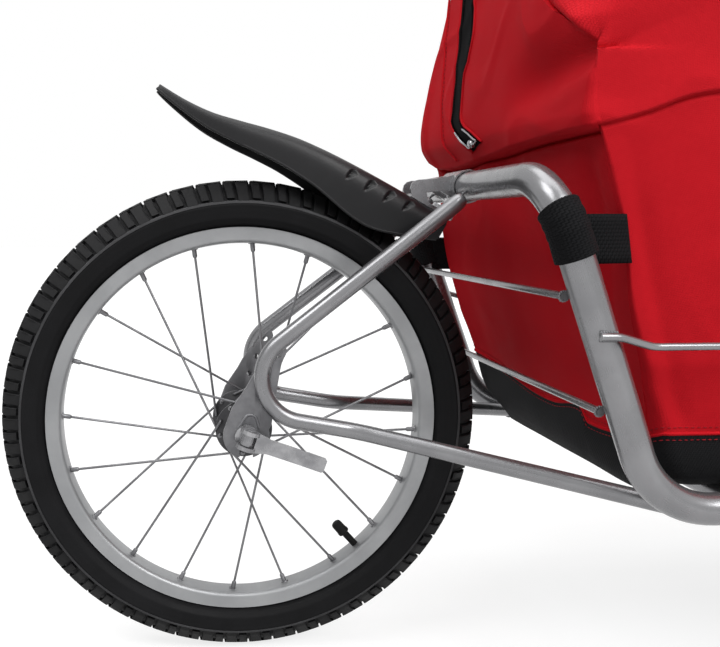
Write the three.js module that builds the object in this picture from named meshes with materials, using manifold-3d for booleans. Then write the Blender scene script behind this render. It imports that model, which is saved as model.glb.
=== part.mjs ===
// Single-wheel bike trailer: a tubular bed on one 16 inch wheel, with a fabric bag and a steering hitch fork.
// Millimetres, +X forward, +Y to the trailer's left, +Z up, ground at zero.
// Shapes are worked out from the axle at X zero; the finished group is moved so that the origin lies
// under the middle of the trailer.

import * as THREE from "three";
import { mergeVertices } from "three/addons/utils/BufferGeometryUtils.js";
import Module from "manifold-3d";

const wasm = await Module();
wasm.setup();

// Clearances and cutting
const seatGap = 0.3;
const runningGap = 0.5;
const cutOverrun = 6;

// Counts and angles
const wheelSegments = 36;
const hubSegments = 14;
const mainTubeSides = 10;
const tubeSides = 10;
const staySides = 8;
const rodSides = 6;
const wireSides = 4;
const bendStepDegrees = 23;
const wireBendStepDegrees = 60;
const rightAngleDegrees = 90;
const coordinateCount = 3;

// Tyre and inner tube
const tyreOuterRadius = 194;
const tyreHalfHeight = 20.5;
const tyreHalfWidth = 20.6;
const treadThickness = 5;
const sidewallThickness = 2.6;
const sidewallDegrees = [-40, -5, 30, 55, 73];
const liningDegrees = [90, 45, 0];
const beadHalfWidth = 10.9;
const beadThickness = 3.3;
const beadHeight = 4;
const innerTubeHalfHeight = 12.6;
const innerTubeHalfWidth = 14.8;
const innerTubeSides = 8;

// Rim
const tyreStandoff = 35.5;
const rimDepth = 12.6;
const rimHalfWidth = 12.5;
const rimFlangeThickness = 1.3;
const rimSeatDepth = 5.9;
const rimWellDepth = 9.5;
const rimWellHalfWidth = 5;
const rimShoulderHalfWidth = 6.2;
const rimChamfer = 2.2;
const rimTapeHalfWidth = 7;
const rimTapeThickness = 0.8;
const rimOuterRadius = tyreOuterRadius - tyreStandoff;
const rimInnerRadius = rimOuterRadius - rimDepth;
const rimSeatRadius = rimOuterRadius - rimSeatDepth;
const rimWellRadius = rimOuterRadius - rimWellDepth;

// Valve
const valveDegrees = 311.8;
const valveStemRadius = 3.2;
const valveStemLength = 22;
const valveCapRadius = 4.7;
const valveCapLength = 12;
const valveCapEngagement = 8;

// Spokes and nipples
const spokeCount = 20;
const firstSpokeDegrees = 86.8;
const spokeLeadDegrees = 72;
const spokeRadius = 1;
const spokeBendRadius = 1.6;
const spokeHeadRadius = 1.9;
const spokeHeadThickness = 1.1;
const spokeHoleRadius = 1.5;
const outerSpokeStandoff = 3;
const innerSpokeStandoff = 1.5;
const nippleRadius = 1.9;
const nippleLength = 12;
const nippleHeadRadius = 3.1;
const nippleHeadThickness = 1.2;
const nippleHeadLift = 1;
const nippleHoleGap = 1;

// Hub
const hubHoleCircleRadius = 20;
const hubFlangeRadius = 22.8;
const hubFlangeThickness = 2.2;
const hubFlangeHalfSpacing = 23.5;
const hubBarrelRadius = 10;
const hubCupRadius = 13.5;
const hubHalfLength = 31;
const hubBoreRadius = 7.5;
const hubWaistHalfLength = 17;
const bearingRadius = 10.2;
const bearingWidth = 7.6;
const axleRadius = 4.7;
const axleBoreRadius = 2.85;
const coneRadius = 8.2;
const coneNeckRadius = 6.6;
const coneLength = 4;
const lockNutRadius = 8.6;
const lockNutLength = 7;
const lockNutSides = 6;
const hubHalfOverLocknuts = 45;

// Quick release
const skewerRadius = 2.5;
const seatRadius = 9.5;
const seatThickness = 5;
const camPinStandoff = 13;
const camPinRadius = 2.6;
const camPinTail = 0.6;
const eyeRadius = 4.6;
const eyeHalfWidth = 4.2;
const cheekThickness = 3;
const cheekLength = 8;
const leverShoulderLength = 17;
const leverLength = 62;
const leverWidth = 11.4;
const leverThickness = 3;
const leverTipRise = 5;
const leverTipChamfer = 1.4;
const leverDegrees = -19;
const leverCurveSteps = 4;
const releaseNutRadius = 9;
const releaseNutNoseRadius = 6.5;
const releaseNutLength = 13;
const releaseNutWall = 4;

// Main tube: rear hoop, rails and front hoop
const mainTubeRadius = 11;
const halfTrack = 175.5;
const railDrop = 25;
const hoopDrop = 5;
const wheelToCorner = 66;
const bedLength = 520;
const legSetback = 84.5;
const lowerBendRadius = 60;
const upperBendRadius = 40;
const railJointSetback = 90;
const floorBarRadius = 8;
const floorBarSetback = 70;
const floorBarCount = 3;

// Wheel stays with their dropout plates
const stayRadius = 6.35;
const stayTopSetback = 10.5;
const stayTopY = 43;
const stayTopDrop = 8.8;
const stayBendX = 46;
const stayBendRise = 45.7;
const stayBendY = 53.5;
const stayBendRadius = 34;
const stayKinkX = 86;
const stayKinkY = 57.8;
const stayKinkRise = 3.9;
const stayKinkBendRadius = 60;
const stayEndLead = 37;
const stayEndY = 166.4;
const stayEndDrop = 5.3;
const dropoutThickness = 4;
const dropoutLobeRadius = 18;
const dropoutSlotGap = 0.5;
const dropoutHeight = 71;
const dropoutEdgeShares = [[0.437, 0.141], [0.479, 0.282], [0.507, 0.577], [0.507, 0.789], [0.465, 0.958], [0.366, 1],
  [0.282, 0.944], [0.099, 0.704], [0, 0.535], [-0.155, 0.31]];
const dropoutHoleShares = [[0.352, 0.887], [0.225, 0.662], [0.141, 0.465], [0.366, 0.465]];
const dropoutHoleRadius = 2.2;

// Guard rods
const rodRadius = 2.5;
const rearRodSetback = 11.4;
const upperRearRodShare = 0.658;
const lowerRearRodShare = 0.305;
const sideRodShare = 0.514;
const sideRodEndShare = 0.549;
const sideRodInset = 7;
const sideRodRun = 26;
const sideRodStart = 6;
const sideRodBendRadius = 25;

// Mudguard
const guardHalfWidth = 28;
const guardTipHalfWidth = 9;
const guardThickness = 2.4;
const guardTipDegrees = 103.2;
const guardTipStandoff = 77.2;
const guardLeadDegrees = 97;
const guardLeadStandoff = 53.8;
const guardCrownDegrees = 79.9;
const guardCrownStandoff = 35;
const guardMidDegrees = 64.1;
const guardMidStandoff = 28.3;
const guardEndSetback = 15.5;
const guardEndDrop = 23.5;
const guardTipDepth = 4;
const guardSkirtDepth = 37;
const guardWidthShares = [[0, 0], [0.12, 0.62], [0.3, 1], [1, 1]];
const guardDepthShares = [[0, 0], [0.1, 0.12], [0.3, 0.42], [0.55, 0.72], [0.78, 1], [1, 0.45]];
const guardCrownPowerShare = 0.42;
const guardStations = 11;
const guardSectionSteps = 8;
const gillCount = 4;
const gillFirstShare = 0.655;
const gillStepShare = 0.07;
const gillLeanShare = 0.011;
const gillTopShare = 0.264;
const gillFootShare = 0.096;
const gillRadius = 2.2;
const gillEndRadius = 0.4;
const gillStandoff = 1;
const gillBroadShare = 0.25;

// Saddle bracket and its bolts
const bracketHalfWidth = 20;
const bracketThickness = 1.8;
const bracketRearSetback = 43.5;
const bracketFrontSetback = 10.5;
const bracketTongueThickness = 3;
const bracketTongueLift = 0.5;
const bracketCheekInnerY = 10.6;
const bracketLobeSetback = 41.8;
const bracketLobeRise = 8.3;
const bracketLobeRadius = 6.5;
const bracketFootLength = 14;
const bracketBoltSetbacks = [34.5, 20.5];
const bracketBoltRadius = 3;
const bracketBoltHeadRadius = 5.4;
const bracketBoltHeadLength = 4;
const bracketBoltNutLength = 5;
const bracketNutGap = 2;

// Neck, head tube and steering pivot
const pivotLead = 60.5;
const hitchDrop = 38;
const headTubeHalfLength = 45;
const headTubeRadius = 17;
const headTubeBoreRadius = 12.8;
const neckRadius = 14.3;
const neckKneeSetback = 110;
const neckKneeRise = 41;
const neckKneeRadius = 40;
const neckTopDrop = 0.5;
const braceRadius = 9.5;
const braceTopRise = 24;
const crossBarRadius = 8;
const crossBarRise = 36;
const crossBarLead = 3;
const bushWall = 3.6;
const bushFlangeRadius = 16.5;
const bushFlangeThickness = 2.4;
const pivotBoltRadius = 8;
const pivotHeadRadius = 13;
const pivotHeadLength = 9;
const pivotNutLength = 11;
const pivotNutSides = 6;
const pivotTail = 4;

// Hitch fork
const lugThickness = 6;
const lugRadius = 20;
const yokeReach = 45;
const yokeDepth = 14;
const forkReach = 425;
const forkHalfGap = 78;
const forkArmRadius = 9.5;
const forkArmRootY = 17;
const forkShoulderReach = 90;
const forkShoulderRadius = 45;
const forkEndThickness = 8;
const forkEndRadius = 19;
const forkSlotWidth = 10.4;
const forkEndTail = 44;
const lockPinRadius = 2;
const lockPinDrop = 12.5;
const lockPinOverhang = 7;
const lockPinRingRadius = 9;
const lockPinRingWire = 1.6;
const lockPinRingSegments = 10;

// Bag: rear face leans with the legs, the front mirrors it
const bagBandHeight = 38.7;
const bagTopHeight = 603;
const bagTrackInset = 18.5;
const bagBulge = 8;
const bagRearLead = 7;
const bagCornerRadius = 45;
const bagCornerSteps = 4;
const bagRearShares = [[0, 0], [0.1, 0.12], [0.18, 0.3], [0.32, 0.5], [0.45, 0.72], [0.56, 0.93], [0.66, 1],
  [0.78, 0.97], [0.9, 0.85], [0.97, 0.68], [1, 0.4]];
const bagLean = 77;
const bagCrownShares = [[0, 1], [0.8, 1], [0.9, 0.985], [0.97, 0.93], [1, 0.82]];
const bagLevelShares = [0, 0.2, 0.35, 0.45, 0.56, 0.68, 0.8, 0.9, 0.96, 1];
const bagInnerLevelShares = [0, 0.22, 0.45, 0.68, 0.9, 1];
const bagBaseRoundShares = [[0, 0.94], [0.2, 0.98], [0.5, 1], [1, 1]];
const bagBaseInnerShares = [[0, 0.95], [1, 1]];
const bagWall = 2.5;
const bagFloorThickness = 4;

// Leg straps
const strapThickness = 2;
const strapBelowBend = 12;
const strapWidth = 33;
const strapTabLength = 50;
const strapTabWidth = 27;
const strapTabDrop = 49;
const strapTabThickness = 2.4;

// Places that follow from the wheel and the hoops
const railHeight = tyreOuterRadius - railDrop;
const hoopHeight = tyreOuterRadius * 2 - hoopDrop;
const hitchHeight = hoopHeight - hitchDrop;
const rearCornerX = tyreOuterRadius + wheelToCorner;
const frontCornerX = rearCornerX + bedLength;
const rearHoopX = rearCornerX - legSetback;
const frontHoopX = frontCornerX + legSetback;
const pivotX = frontHoopX + pivotLead;
const bagHalfWidth = halfTrack - bagTrackInset;

// Colours, roughness and metalness
const steelFinish = { color: 0xb4b7ba, roughness: 0.38, metalness: 0.75 };
const brightFinish = { color: 0xc9cbcd, roughness: 0.25, metalness: 0.9 };
const alloyFinish = { color: 0xb9bcbf, roughness: 0.42, metalness: 0.8 };
const rubberFinish = { color: 0x17181a, roughness: 0.85, metalness: 0 };
const blackPlasticFinish = { color: 0x1d1e20, roughness: 0.5, metalness: 0 };
const webbingFinish = { color: 0x141414, roughness: 0.9, metalness: 0 };
const redFabricFinish = { color: 0xb3171f, roughness: 0.8, metalness: 0 };
const blackFabricFinish = { color: 0x1a1a1b, roughness: 0.85, metalness: 0 };

const vector = (x, y, z) => new THREE.Vector3(x, y, z);
const radians = THREE.MathUtils.degToRad;
const sides = [-1, 1];

// A run of straight lengths joined by round bends, with a station at each end and bend step
class BentPath extends THREE.Curve {
  constructor(corners, bendRadii, stepDegrees = bendStepDegrees) {
    super();
    this.stations = bentStations(corners, bendRadii, stepDegrees);
    this.steps = this.stations.length - 1;
  }

  getPoint(share) {
    return this.stations[Math.round(share * this.steps)].point.clone();
  }

  getPointAt(share) {
    return this.getPoint(share);
  }

  getTangentAt(share) {
    return this.stations[Math.round(share * this.steps)].tangent.clone();
  }
}

function bentStations(corners, bendRadii, stepDegrees) {
  const first = corners[0];
  const last = corners[corners.length - 1];
  const stations = [{ point: first.clone(), tangent: corners[1].clone().sub(first).normalize() }];
  bendRadii.forEach((radius, index) => {
    const corner = corners[index + 1];
    const into = corner.clone().sub(corners[index]).normalize();
    const onward = corners[index + 2].clone().sub(corner).normalize();
    const turn = into.angleTo(onward);
    const inward = onward.clone().addScaledVector(into, -Math.cos(turn)).normalize();
    const start = corner.clone().addScaledVector(into, -radius * Math.tan(turn / 2));
    const stepCount = Math.max(2, Math.ceil(turn / radians(stepDegrees)));
    for (let step = 0; step <= stepCount; step += 1) {
      const angle = (turn * step) / stepCount;
      const point = start.clone().addScaledVector(into, radius * Math.sin(angle))
        .addScaledVector(inward, radius * (1 - Math.cos(angle)));
      const tangent = into.clone().multiplyScalar(Math.cos(angle)).addScaledVector(inward, Math.sin(angle));
      stations.push({ point, tangent });
    }
  });
  stations.push({ point: last.clone(), tangent: last.clone().sub(corners[corners.length - 2]).normalize() });
  return stations;
}

// Where two straight runs meet that leave a round bend on both sides, all in the wheel's plane
function bendCorner(centre, radius, upper, lower) {
  const towards = (point, turn) => {
    const offset = centre.clone().sub(point);
    return new THREE.Vector2(1, 0).rotateAround(new THREE.Vector2(), offset.angle() + turn * Math.asin(radius
      / offset.length()));
  };
  const fromUpper = towards(upper, -1);
  const fromLower = towards(lower, 1);
  const between = lower.clone().sub(upper);
  return upper.clone().addScaledVector(fromUpper, between.cross(fromLower) / fromUpper.cross(fromLower));
}

function circlePoints(radius, count) {
  const points = [];
  for (let index = 0; index < count; index += 1) {
    const angle = (2 * Math.PI * index) / count;
    points.push(new THREE.Vector2(radius * Math.cos(angle), radius * Math.sin(angle)));
  }
  return points;
}

function sweepCircle(path, radius, sideCount, boreRadius = 0) {
  const section = new THREE.Shape(circlePoints(radius, sideCount));
  if (boreRadius > 0) section.holes.push(new THREE.Path(circlePoints(boreRadius, sideCount)));
  return new THREE.ExtrudeGeometry(section, { steps: path.steps, extrudePath: path, bevelEnabled: false });
}

function tube(corners, bendRadii, radius, sideCount = tubeSides) {
  return sweepCircle(new BentPath(corners, bendRadii), radius, sideCount);
}

function bar(start, end, radius, sideCount = tubeSides) {
  return tube([start, end], [], radius, sideCount);
}

// A ring or a turned piece about the wheel's axis, from points of radius and place along the axis
function turned(profile, segments) {
  const points = profile.map(([radius, place]) => new THREE.Vector2(radius, place));
  return new THREE.LatheGeometry(points, segments);
}

function turnedRing(profile, segments) {
  return turned([...profile, profile[0]], segments);
}

// A flat plate whose outline is drawn in the wheel's plane, standing across the axle
function uprightPlate(outline, nearY, farY) {
  const geometry = new THREE.ExtrudeGeometry(new THREE.Shape(outline), { depth: farY - nearY, bevelEnabled: false });
  geometry.rotateX(Math.PI / 2);
  geometry.translate(0, farY, 0);
  return geometry;
}

// A flat plate whose outline is drawn from above
function levelPlate(outline, bottom, top) {
  const geometry = new THREE.ExtrudeGeometry(new THREE.Shape(outline), { depth: top - bottom, bevelEnabled: false });
  geometry.translate(0, 0, bottom);
  return geometry;
}

function arcPoints(centreX, centreY, radius, fromDegrees, toDegrees, stepCount) {
  const points = [];
  for (let step = 0; step <= stepCount; step += 1) {
    const angle = radians(fromDegrees + ((toDegrees - fromDegrees) * step) / stepCount);
    points.push(new THREE.Vector2(centreX + radius * Math.cos(angle), centreY + radius * Math.sin(angle)));
  }
  return points;
}

function mergedSolid(geometry) {
  const bare = geometry.clone();
  Object.keys(bare.attributes).filter((key) => key !== "position").forEach((key) => bare.deleteAttribute(key));
  const merged = mergeVertices(bare);
  const place = merged.attributes.position.array;
  const cornerCount = place.length / coordinateCount;
  const corners = merged.index ? Array.from(merged.index.array) : [...place.keys()].slice(0, cornerCount);
  const kept = [];
  let volume = 0;
  for (let index = 0; index < corners.length; index += 3) {
    const [a, b, c] = corners.slice(index, index + 3);
    if (a === b || b === c || a === c) continue;
    kept.push([a, b, c]);
    const [p, q, r] = [a, b, c].map((corner) => vector(...place.slice(corner * coordinateCount,
      corner * coordinateCount + coordinateCount)));
    volume += p.dot(q.cross(r));
  }
  const ordered = volume < 0 ? kept.map(([a, b, c]) => [a, c, b]) : kept;
  return { place, triangles: ordered.flat() };
}

function toManifold(geometry) {
  const { place, triangles } = mergedSolid(geometry);
  const mesh = new wasm.Mesh({
    numProp: coordinateCount,
    vertProperties: new Float32Array(place),
    triVerts: new Uint32Array(triangles),
  });
  return new wasm.Manifold(mesh);
}

function fromManifold(solid) {
  const mesh = solid.getMesh();
  const geometry = new THREE.BufferGeometry();
  const places = new THREE.BufferAttribute(new Float32Array(mesh.vertProperties), coordinateCount);
  geometry.setAttribute("position", places);
  geometry.setIndex(Array.from(mesh.triVerts));
  return geometry;
}

// A tube whose radius steps along its straight ends, from rings of a station, a place and a radius
function steppedTube(path, stops, sideCount) {
  const frames = path.computeFrenetFrames(path.steps, false);
  return lofted(stops.map(([station, place, radius]) => circlePoints(radius, sideCount).map(({ x, y }) => place.clone()
    .addScaledVector(frames.normals[station], x).addScaledVector(frames.binormals[station], y))));
}

// A straight turned piece: steps are pairs of distance along the line and radius
function steppedBar(start, end, steps, sideCount) {
  const path = new BentPath([start, end], []);
  const along = path.stations[0].tangent;
  return steppedTube(path, steps.map(([distance, radius]) => [0, start.clone().addScaledVector(along, distance),
    radius]), sideCount);
}

function closed(geometry) {
  const { place, triangles } = mergedSolid(geometry);
  const result = new THREE.BufferGeometry();
  result.setAttribute("position", new THREE.BufferAttribute(new Float32Array(place), coordinateCount));
  result.setIndex(triangles);
  return result;
}

function joined(...geometries) {
  return fromManifold(geometries.map(toManifold).reduce((sum, next) => sum.add(next)));
}

function cut(geometry, ...tools) {
  return fromManifold(tools.map(toManifold).reduce((rest, tool) => rest.subtract(tool), toManifold(geometry)));
}

// A closed skin between two grids of points, outer and inner, joined along their four edges
function skin(outer, inner) {
  const rows = outer.length;
  const columns = outer[0].length;
  const points = [...outer.flat(), ...inner.flat()];
  const outside = (row, column) => row * columns + column;
  const inside = (row, column) => rows * columns + row * columns + column;
  const triangles = [];
  const quad = (a, b, c, d) => triangles.push(a, b, c, a, c, d);
  for (let row = 0; row < rows - 1; row += 1) {
    for (let column = 0; column < columns - 1; column += 1) {
      quad(outside(row, column), outside(row + 1, column), outside(row + 1, column + 1), outside(row, column + 1));
      quad(inside(row, column), inside(row, column + 1), inside(row + 1, column + 1), inside(row + 1, column));
    }
    quad(outside(row, 0), inside(row, 0), inside(row + 1, 0), outside(row + 1, 0));
    quad(outside(row, columns - 1), outside(row + 1, columns - 1), inside(row + 1, columns - 1),
      inside(row, columns - 1));
  }
  for (let column = 0; column < columns - 1; column += 1) {
    quad(outside(0, column), outside(0, column + 1), inside(0, column + 1), inside(0, column));
    quad(outside(rows - 1, column), inside(rows - 1, column), inside(rows - 1, column + 1),
      outside(rows - 1, column + 1));
  }
  const geometry = new THREE.BufferGeometry();
  const places = points.flatMap((point) => point.toArray());
  geometry.setAttribute("position", new THREE.Float32BufferAttribute(places, coordinateCount));
  geometry.setIndex(triangles);
  return geometry;
}

// A solid through closed rings of points, closed by a fan at each end
function lofted(rings) {
  const count = rings[0].length;
  const points = rings.flat();
  const triangles = [];
  for (let ring = 0; ring < rings.length - 1; ring += 1) {
    for (let index = 0; index < count; index += 1) {
      const next = (index + 1) % count;
      const low = ring * count;
      const high = low + count;
      triangles.push(low + index, low + next, high + next, low + index, high + next, high + index);
    }
  }
  [rings[0], rings[rings.length - 1]].forEach((ring, end) => {
    const middle = ring.reduce((sum, point) => sum.add(point), vector(0, 0, 0)).divideScalar(count);
    const start = end === 0 ? 0 : (rings.length - 1) * count;
    points.push(middle);
    for (let index = 0; index < count; index += 1) {
      const pair = [start + index, start + ((index + 1) % count)];
      triangles.push(points.length - 1, ...(end === 0 ? pair.reverse() : pair));
    }
  });
  const geometry = new THREE.BufferGeometry();
  const places = points.flatMap((point) => point.toArray());
  geometry.setAttribute("position", new THREE.Float32BufferAttribute(places, coordinateCount));
  geometry.setIndex(triangles);
  return geometry;
}

function shareAt(table, share) {
  const upper = Math.max(1, table.findIndex(([place]) => place >= share));
  const [lowPlace, lowValue] = table[upper - 1];
  const [highPlace, highValue] = table[upper];
  return THREE.MathUtils.mapLinear(share, lowPlace, highPlace, lowValue, highValue);
}

const trailer = new THREE.Group();
const foremostX = pivotX + forkReach + forkEndRadius + 2 * lockPinRingRadius + lockPinRingWire;
trailer.position.x = (tyreOuterRadius - foremostX) / 2;

function addPart(name, geometry, finish) {
  const mesh = new THREE.Mesh(closed(geometry), new THREE.MeshStandardMaterial(finish));
  mesh.name = name;
  trailer.add(mesh);
}

// A piece that turns with the wheel or sits on the axle is made about the axis, then lifted to the axle
function addWheelPart(name, geometry, finish) {
  geometry.translate(0, 0, tyreOuterRadius);
  addPart(name, geometry, finish);
}

function sideName(side) {
  return side < 0 ? "right" : "left";
}

// The two places across the trailer between an inner and an outer distance on one side
function sideSpan(side, inner, outer) {
  return side < 0 ? [-outer, -inner] : [inner, outer];
}

function inWheelPlane(degrees, radius, y = 0) {
  return vector(radius * Math.cos(radians(degrees)), y, radius * Math.sin(radians(degrees)));
}

// Tyre, inner tube, rim and rim tape
const tyreCentreRadius = tyreOuterRadius - tyreHalfHeight;
const beadRadius = rimSeatRadius + seatGap;
const rimTapeRadius = rimSeatRadius + seatGap;

function sectionPoint(halfHeight, halfWidth, degrees) {
  const angle = radians(degrees);
  return [tyreCentreRadius + halfHeight * Math.sin(angle), halfWidth * Math.cos(angle)];
}

function mirroredProfile(half) {
  return [...half, ...half.map(([radius, place]) => [radius, -place]).reverse()];
}

function tyreProfile() {
  const flangeTop = rimOuterRadius + seatGap;
  const outside = [
    [beadRadius, beadHalfWidth - beadThickness],
    [beadRadius, beadHalfWidth],
    [flangeTop, beadHalfWidth],
    ...sidewallDegrees.map((degrees) => sectionPoint(tyreHalfHeight, tyreHalfWidth, degrees)),
  ];
  const innerHalfHeight = tyreHalfHeight - treadThickness;
  const innerHalfWidth = tyreHalfWidth - sidewallThickness;
  const inside = liningDegrees.map((degrees) => sectionPoint(innerHalfHeight, innerHalfWidth, degrees));
  inside.push([beadRadius + beadHeight, beadHalfWidth - beadThickness]);
  const otherWay = (points) => points.map(([radius, place]) => [radius, -place]).reverse();
  return [...outside, [tyreOuterRadius, 0], ...otherWay(outside), ...otherWay(inside.slice(1)), ...inside];
}

function innerTubeProfile() {
  const points = [];
  for (let index = 0; index < innerTubeSides; index += 1) {
    const angle = (2 * Math.PI * index) / innerTubeSides;
    points.push([tyreCentreRadius + innerTubeHalfHeight * Math.sin(angle), innerTubeHalfWidth * Math.cos(angle)]);
  }
  return points;
}

function rimProfile() {
  return mirroredProfile([
    [rimInnerRadius, rimHalfWidth - rimChamfer],
    [rimInnerRadius + rimChamfer, rimHalfWidth],
    [rimOuterRadius, rimHalfWidth],
    [rimOuterRadius, rimHalfWidth - rimFlangeThickness],
    [rimSeatRadius, rimHalfWidth - rimFlangeThickness],
    [rimSeatRadius, rimShoulderHalfWidth],
    [rimWellRadius, rimWellHalfWidth],
  ]);
}

function valveBar(fromRadius, toRadius, radius, sideCount = rodSides) {
  return bar(inWheelPlane(valveDegrees, fromRadius), inWheelPlane(valveDegrees, toRadius), radius, sideCount);
}

const valveEndRadius = rimInnerRadius - valveStemLength;
const valveHoleRadius = valveStemRadius + runningGap;

function addTyreAndRim() {
  addWheelPart("tyre", turnedRing(tyreProfile(), wheelSegments), rubberFinish);
  const valveRoot = tyreCentreRadius - innerTubeHalfHeight / 2;
  const innerTube = joined(
    turnedRing(innerTubeProfile(), wheelSegments / 2),
    valveBar(valveRoot, valveEndRadius, valveStemRadius),
  );
  addWheelPart("inner_tube", innerTube, rubberFinish);
  const capBase = valveEndRadius + valveCapEngagement;
  const cap = cut(
    valveBar(capBase, capBase - valveCapLength, valveCapRadius, tubeSides),
    valveBar(capBase + cutOverrun, valveEndRadius - runningGap, valveHoleRadius, tubeSides),
  );
  addWheelPart("valve_cap", cap, blackPlasticFinish);
  const valveDrill = valveBar(rimInnerRadius - cutOverrun, rimSeatRadius + cutOverrun, valveHoleRadius);
  const nippleDrills = spokes.map((spoke) => spoke.drill(nippleRadius + nippleHoleGap));
  addWheelPart("rim", cut(turnedRing(rimProfile(), wheelSegments), valveDrill, ...nippleDrills), alloyFinish);
  const tape = turnedRing(mirroredProfile([
    [rimTapeRadius, rimTapeHalfWidth],
    [rimTapeRadius + rimTapeThickness, rimTapeHalfWidth],
  ]), wheelSegments);
  addWheelPart("rim_tape", cut(tape, valveDrill), rubberFinish);
}

// Spokes: near and far in turn round the rim, leading and trailing in pairs, laced two-cross
const flangeInnerY = hubFlangeHalfSpacing - hubFlangeThickness / 2;
const flangeOuterY = hubFlangeHalfSpacing + hubFlangeThickness / 2;

class Spoke {
  constructor(number) {
    const stepDegrees = 360 / spokeCount;
    this.name = `spoke_${String(number + 1).padStart(2, "0")}`;
    this.rimDegrees = firstSpokeDegrees + stepDegrees * number;
    this.side = number % 2 === 0 ? -1 : 1;
    const leading = number % 4 === 0 || number % 4 === 3;
    this.hubDegrees = this.rimDegrees + (leading ? -spokeLeadDegrees : spokeLeadDegrees);
    this.elbowY = this.side * (leading ? flangeOuterY + outerSpokeStandoff : flangeInnerY - innerSpokeStandoff);
    this.headY = this.side * (leading ? flangeInnerY - seatGap : flangeOuterY + seatGap);
    this.headAway = leading ? -this.side : this.side;
    this.elbow = inWheelPlane(this.hubDegrees, hubHoleCircleRadius, this.elbowY);
    this.rimPoint = inWheelPlane(this.rimDegrees, rimWellRadius);
    this.direction = this.rimPoint.clone().sub(this.elbow).normalize();
  }

  along(distance) {
    return this.rimPoint.clone().addScaledVector(this.direction, distance);
  }

  drill(radius) {
    return bar(this.along(-cutOverrun), this.along(cutOverrun / 2), radius, wireSides);
  }

  hubDrill() {
    const inner = inWheelPlane(this.hubDegrees, hubHoleCircleRadius, this.side * (flangeInnerY - cutOverrun / 2));
    const outer = inWheelPlane(this.hubDegrees, hubHoleCircleRadius, this.side * (flangeOuterY + cutOverrun / 2));
    return bar(inner, outer, spokeHoleRadius, wireSides);
  }

  solid() {
    const head = inWheelPlane(this.hubDegrees, hubHoleCircleRadius, this.headY);
    const headEnd = head.clone();
    headEnd.y += this.headAway * spokeHeadThickness;
    const headTop = nippleHeadLift + nippleHeadThickness;
    const path = new BentPath([headEnd, this.elbow, this.along(headTop)], [spokeBendRadius], wireBendStepDegrees);
    const last = path.steps;
    const bend = path.stations.slice(1, -1).map(({ point }, index) => [index + 1, point, spokeRadius]);
    return steppedTube(path, [
      [0, headEnd, spokeHeadRadius],
      [0, head, spokeHeadRadius],
      [0, head, spokeRadius],
      ...bend,
      [last, this.along(headTop - nippleLength), spokeRadius],
      [last, this.along(headTop - nippleLength), nippleRadius],
      [last, this.along(nippleHeadLift), nippleRadius],
      [last, this.along(nippleHeadLift), nippleHeadRadius],
      [last, this.along(headTop), nippleHeadRadius],
    ], wireSides);
  }
}

const spokes = Array.from({ length: spokeCount }, (_, number) => new Spoke(number));

function addSpokes() {
  spokes.forEach((spoke) => addWheelPart(spoke.name, spoke.solid(), brightFinish));
}

// Hub, bearings, cones, axle and quick release
const bearingInnerY = flangeInnerY + seatGap;
const bearingOuterY = bearingInnerY + bearingWidth;

function addHub() {
  const half = [
    [hubBarrelRadius, hubWaistHalfLength],
    [hubCupRadius, flangeInnerY - hubFlangeThickness / 2],
    [hubCupRadius, flangeInnerY],
    [hubFlangeRadius, flangeInnerY],
    [hubFlangeRadius, flangeOuterY],
    [hubCupRadius, flangeOuterY],
    [hubCupRadius, hubHalfLength],
    [bearingRadius + seatGap, hubHalfLength],
    [bearingRadius + seatGap, flangeInnerY],
    [hubBoreRadius, flangeInnerY],
  ];
  const profile = [...half.map(([radius, place]) => [radius, -place]).reverse(), ...half];
  const shell = cut(turnedRing(profile, hubSegments), ...spokes.map((spoke) => spoke.hubDrill()));
  addWheelPart("hub_shell", shell, steelFinish);
  const boreRadius = axleRadius + seatGap;
  const lockNutY = hubHalfOverLocknuts - lockNutLength;
  const coneY = bearingOuterY + seatGap;
  sides.forEach((side) => {
    const race = turnedRing([
      [boreRadius, side * bearingInnerY],
      [bearingRadius, side * bearingInnerY],
      [bearingRadius, side * bearingOuterY],
      [boreRadius, side * bearingOuterY],
    ], hubSegments);
    addWheelPart(`bearing_${sideName(side)}`, race, brightFinish);
    const cone = turnedRing([
      [boreRadius, side * coneY],
      [coneRadius, side * coneY],
      [coneRadius, side * (coneY + coneLength)],
      [coneNeckRadius, side * (coneY + coneLength)],
      [coneNeckRadius, side * hubHalfOverLocknuts],
      [boreRadius, side * hubHalfOverLocknuts],
    ], hubSegments);
    const nutEnds = [vector(0, side * lockNutY, 0), vector(0, side * hubHalfOverLocknuts, 0)];
    const boreEnds = [vector(0, side * (lockNutY - cutOverrun), 0),
      vector(0, side * (hubHalfOverLocknuts + cutOverrun), 0)];
    const lockNut = cut(bar(...nutEnds, lockNutRadius, lockNutSides), bar(...boreEnds, coneNeckRadius - seatGap,
      hubSegments));
    addWheelPart(`cone_${sideName(side)}`, joined(cone, lockNut), brightFinish);
  });
}

const dropoutInnerY = hubHalfOverLocknuts + seatGap;
const dropoutOuterY = dropoutInnerY + dropoutThickness;
const clampY = dropoutOuterY + seatGap;
const camPinY = clampY + camPinStandoff;
const cheekRadius = camPinStandoff - seatThickness - seatGap;
const cheekInner = eyeHalfWidth + runningGap;
const cheekOuter = cheekInner + cheekThickness;

// The lever swings about the cam pin, which lies across the skewer and across the arm
const leverDirection = vector(Math.cos(radians(leverDegrees)), 0, Math.sin(radians(leverDegrees)));
const leverOutward = vector(0, -1, 0);
const camPinDirection = leverDirection.clone().cross(leverOutward).normalize();

function besideCam(along, outward, across) {
  return vector(0, -camPinY, 0).addScaledVector(leverDirection, along).addScaledVector(leverOutward, outward)
    .addScaledVector(camPinDirection, across);
}

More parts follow.
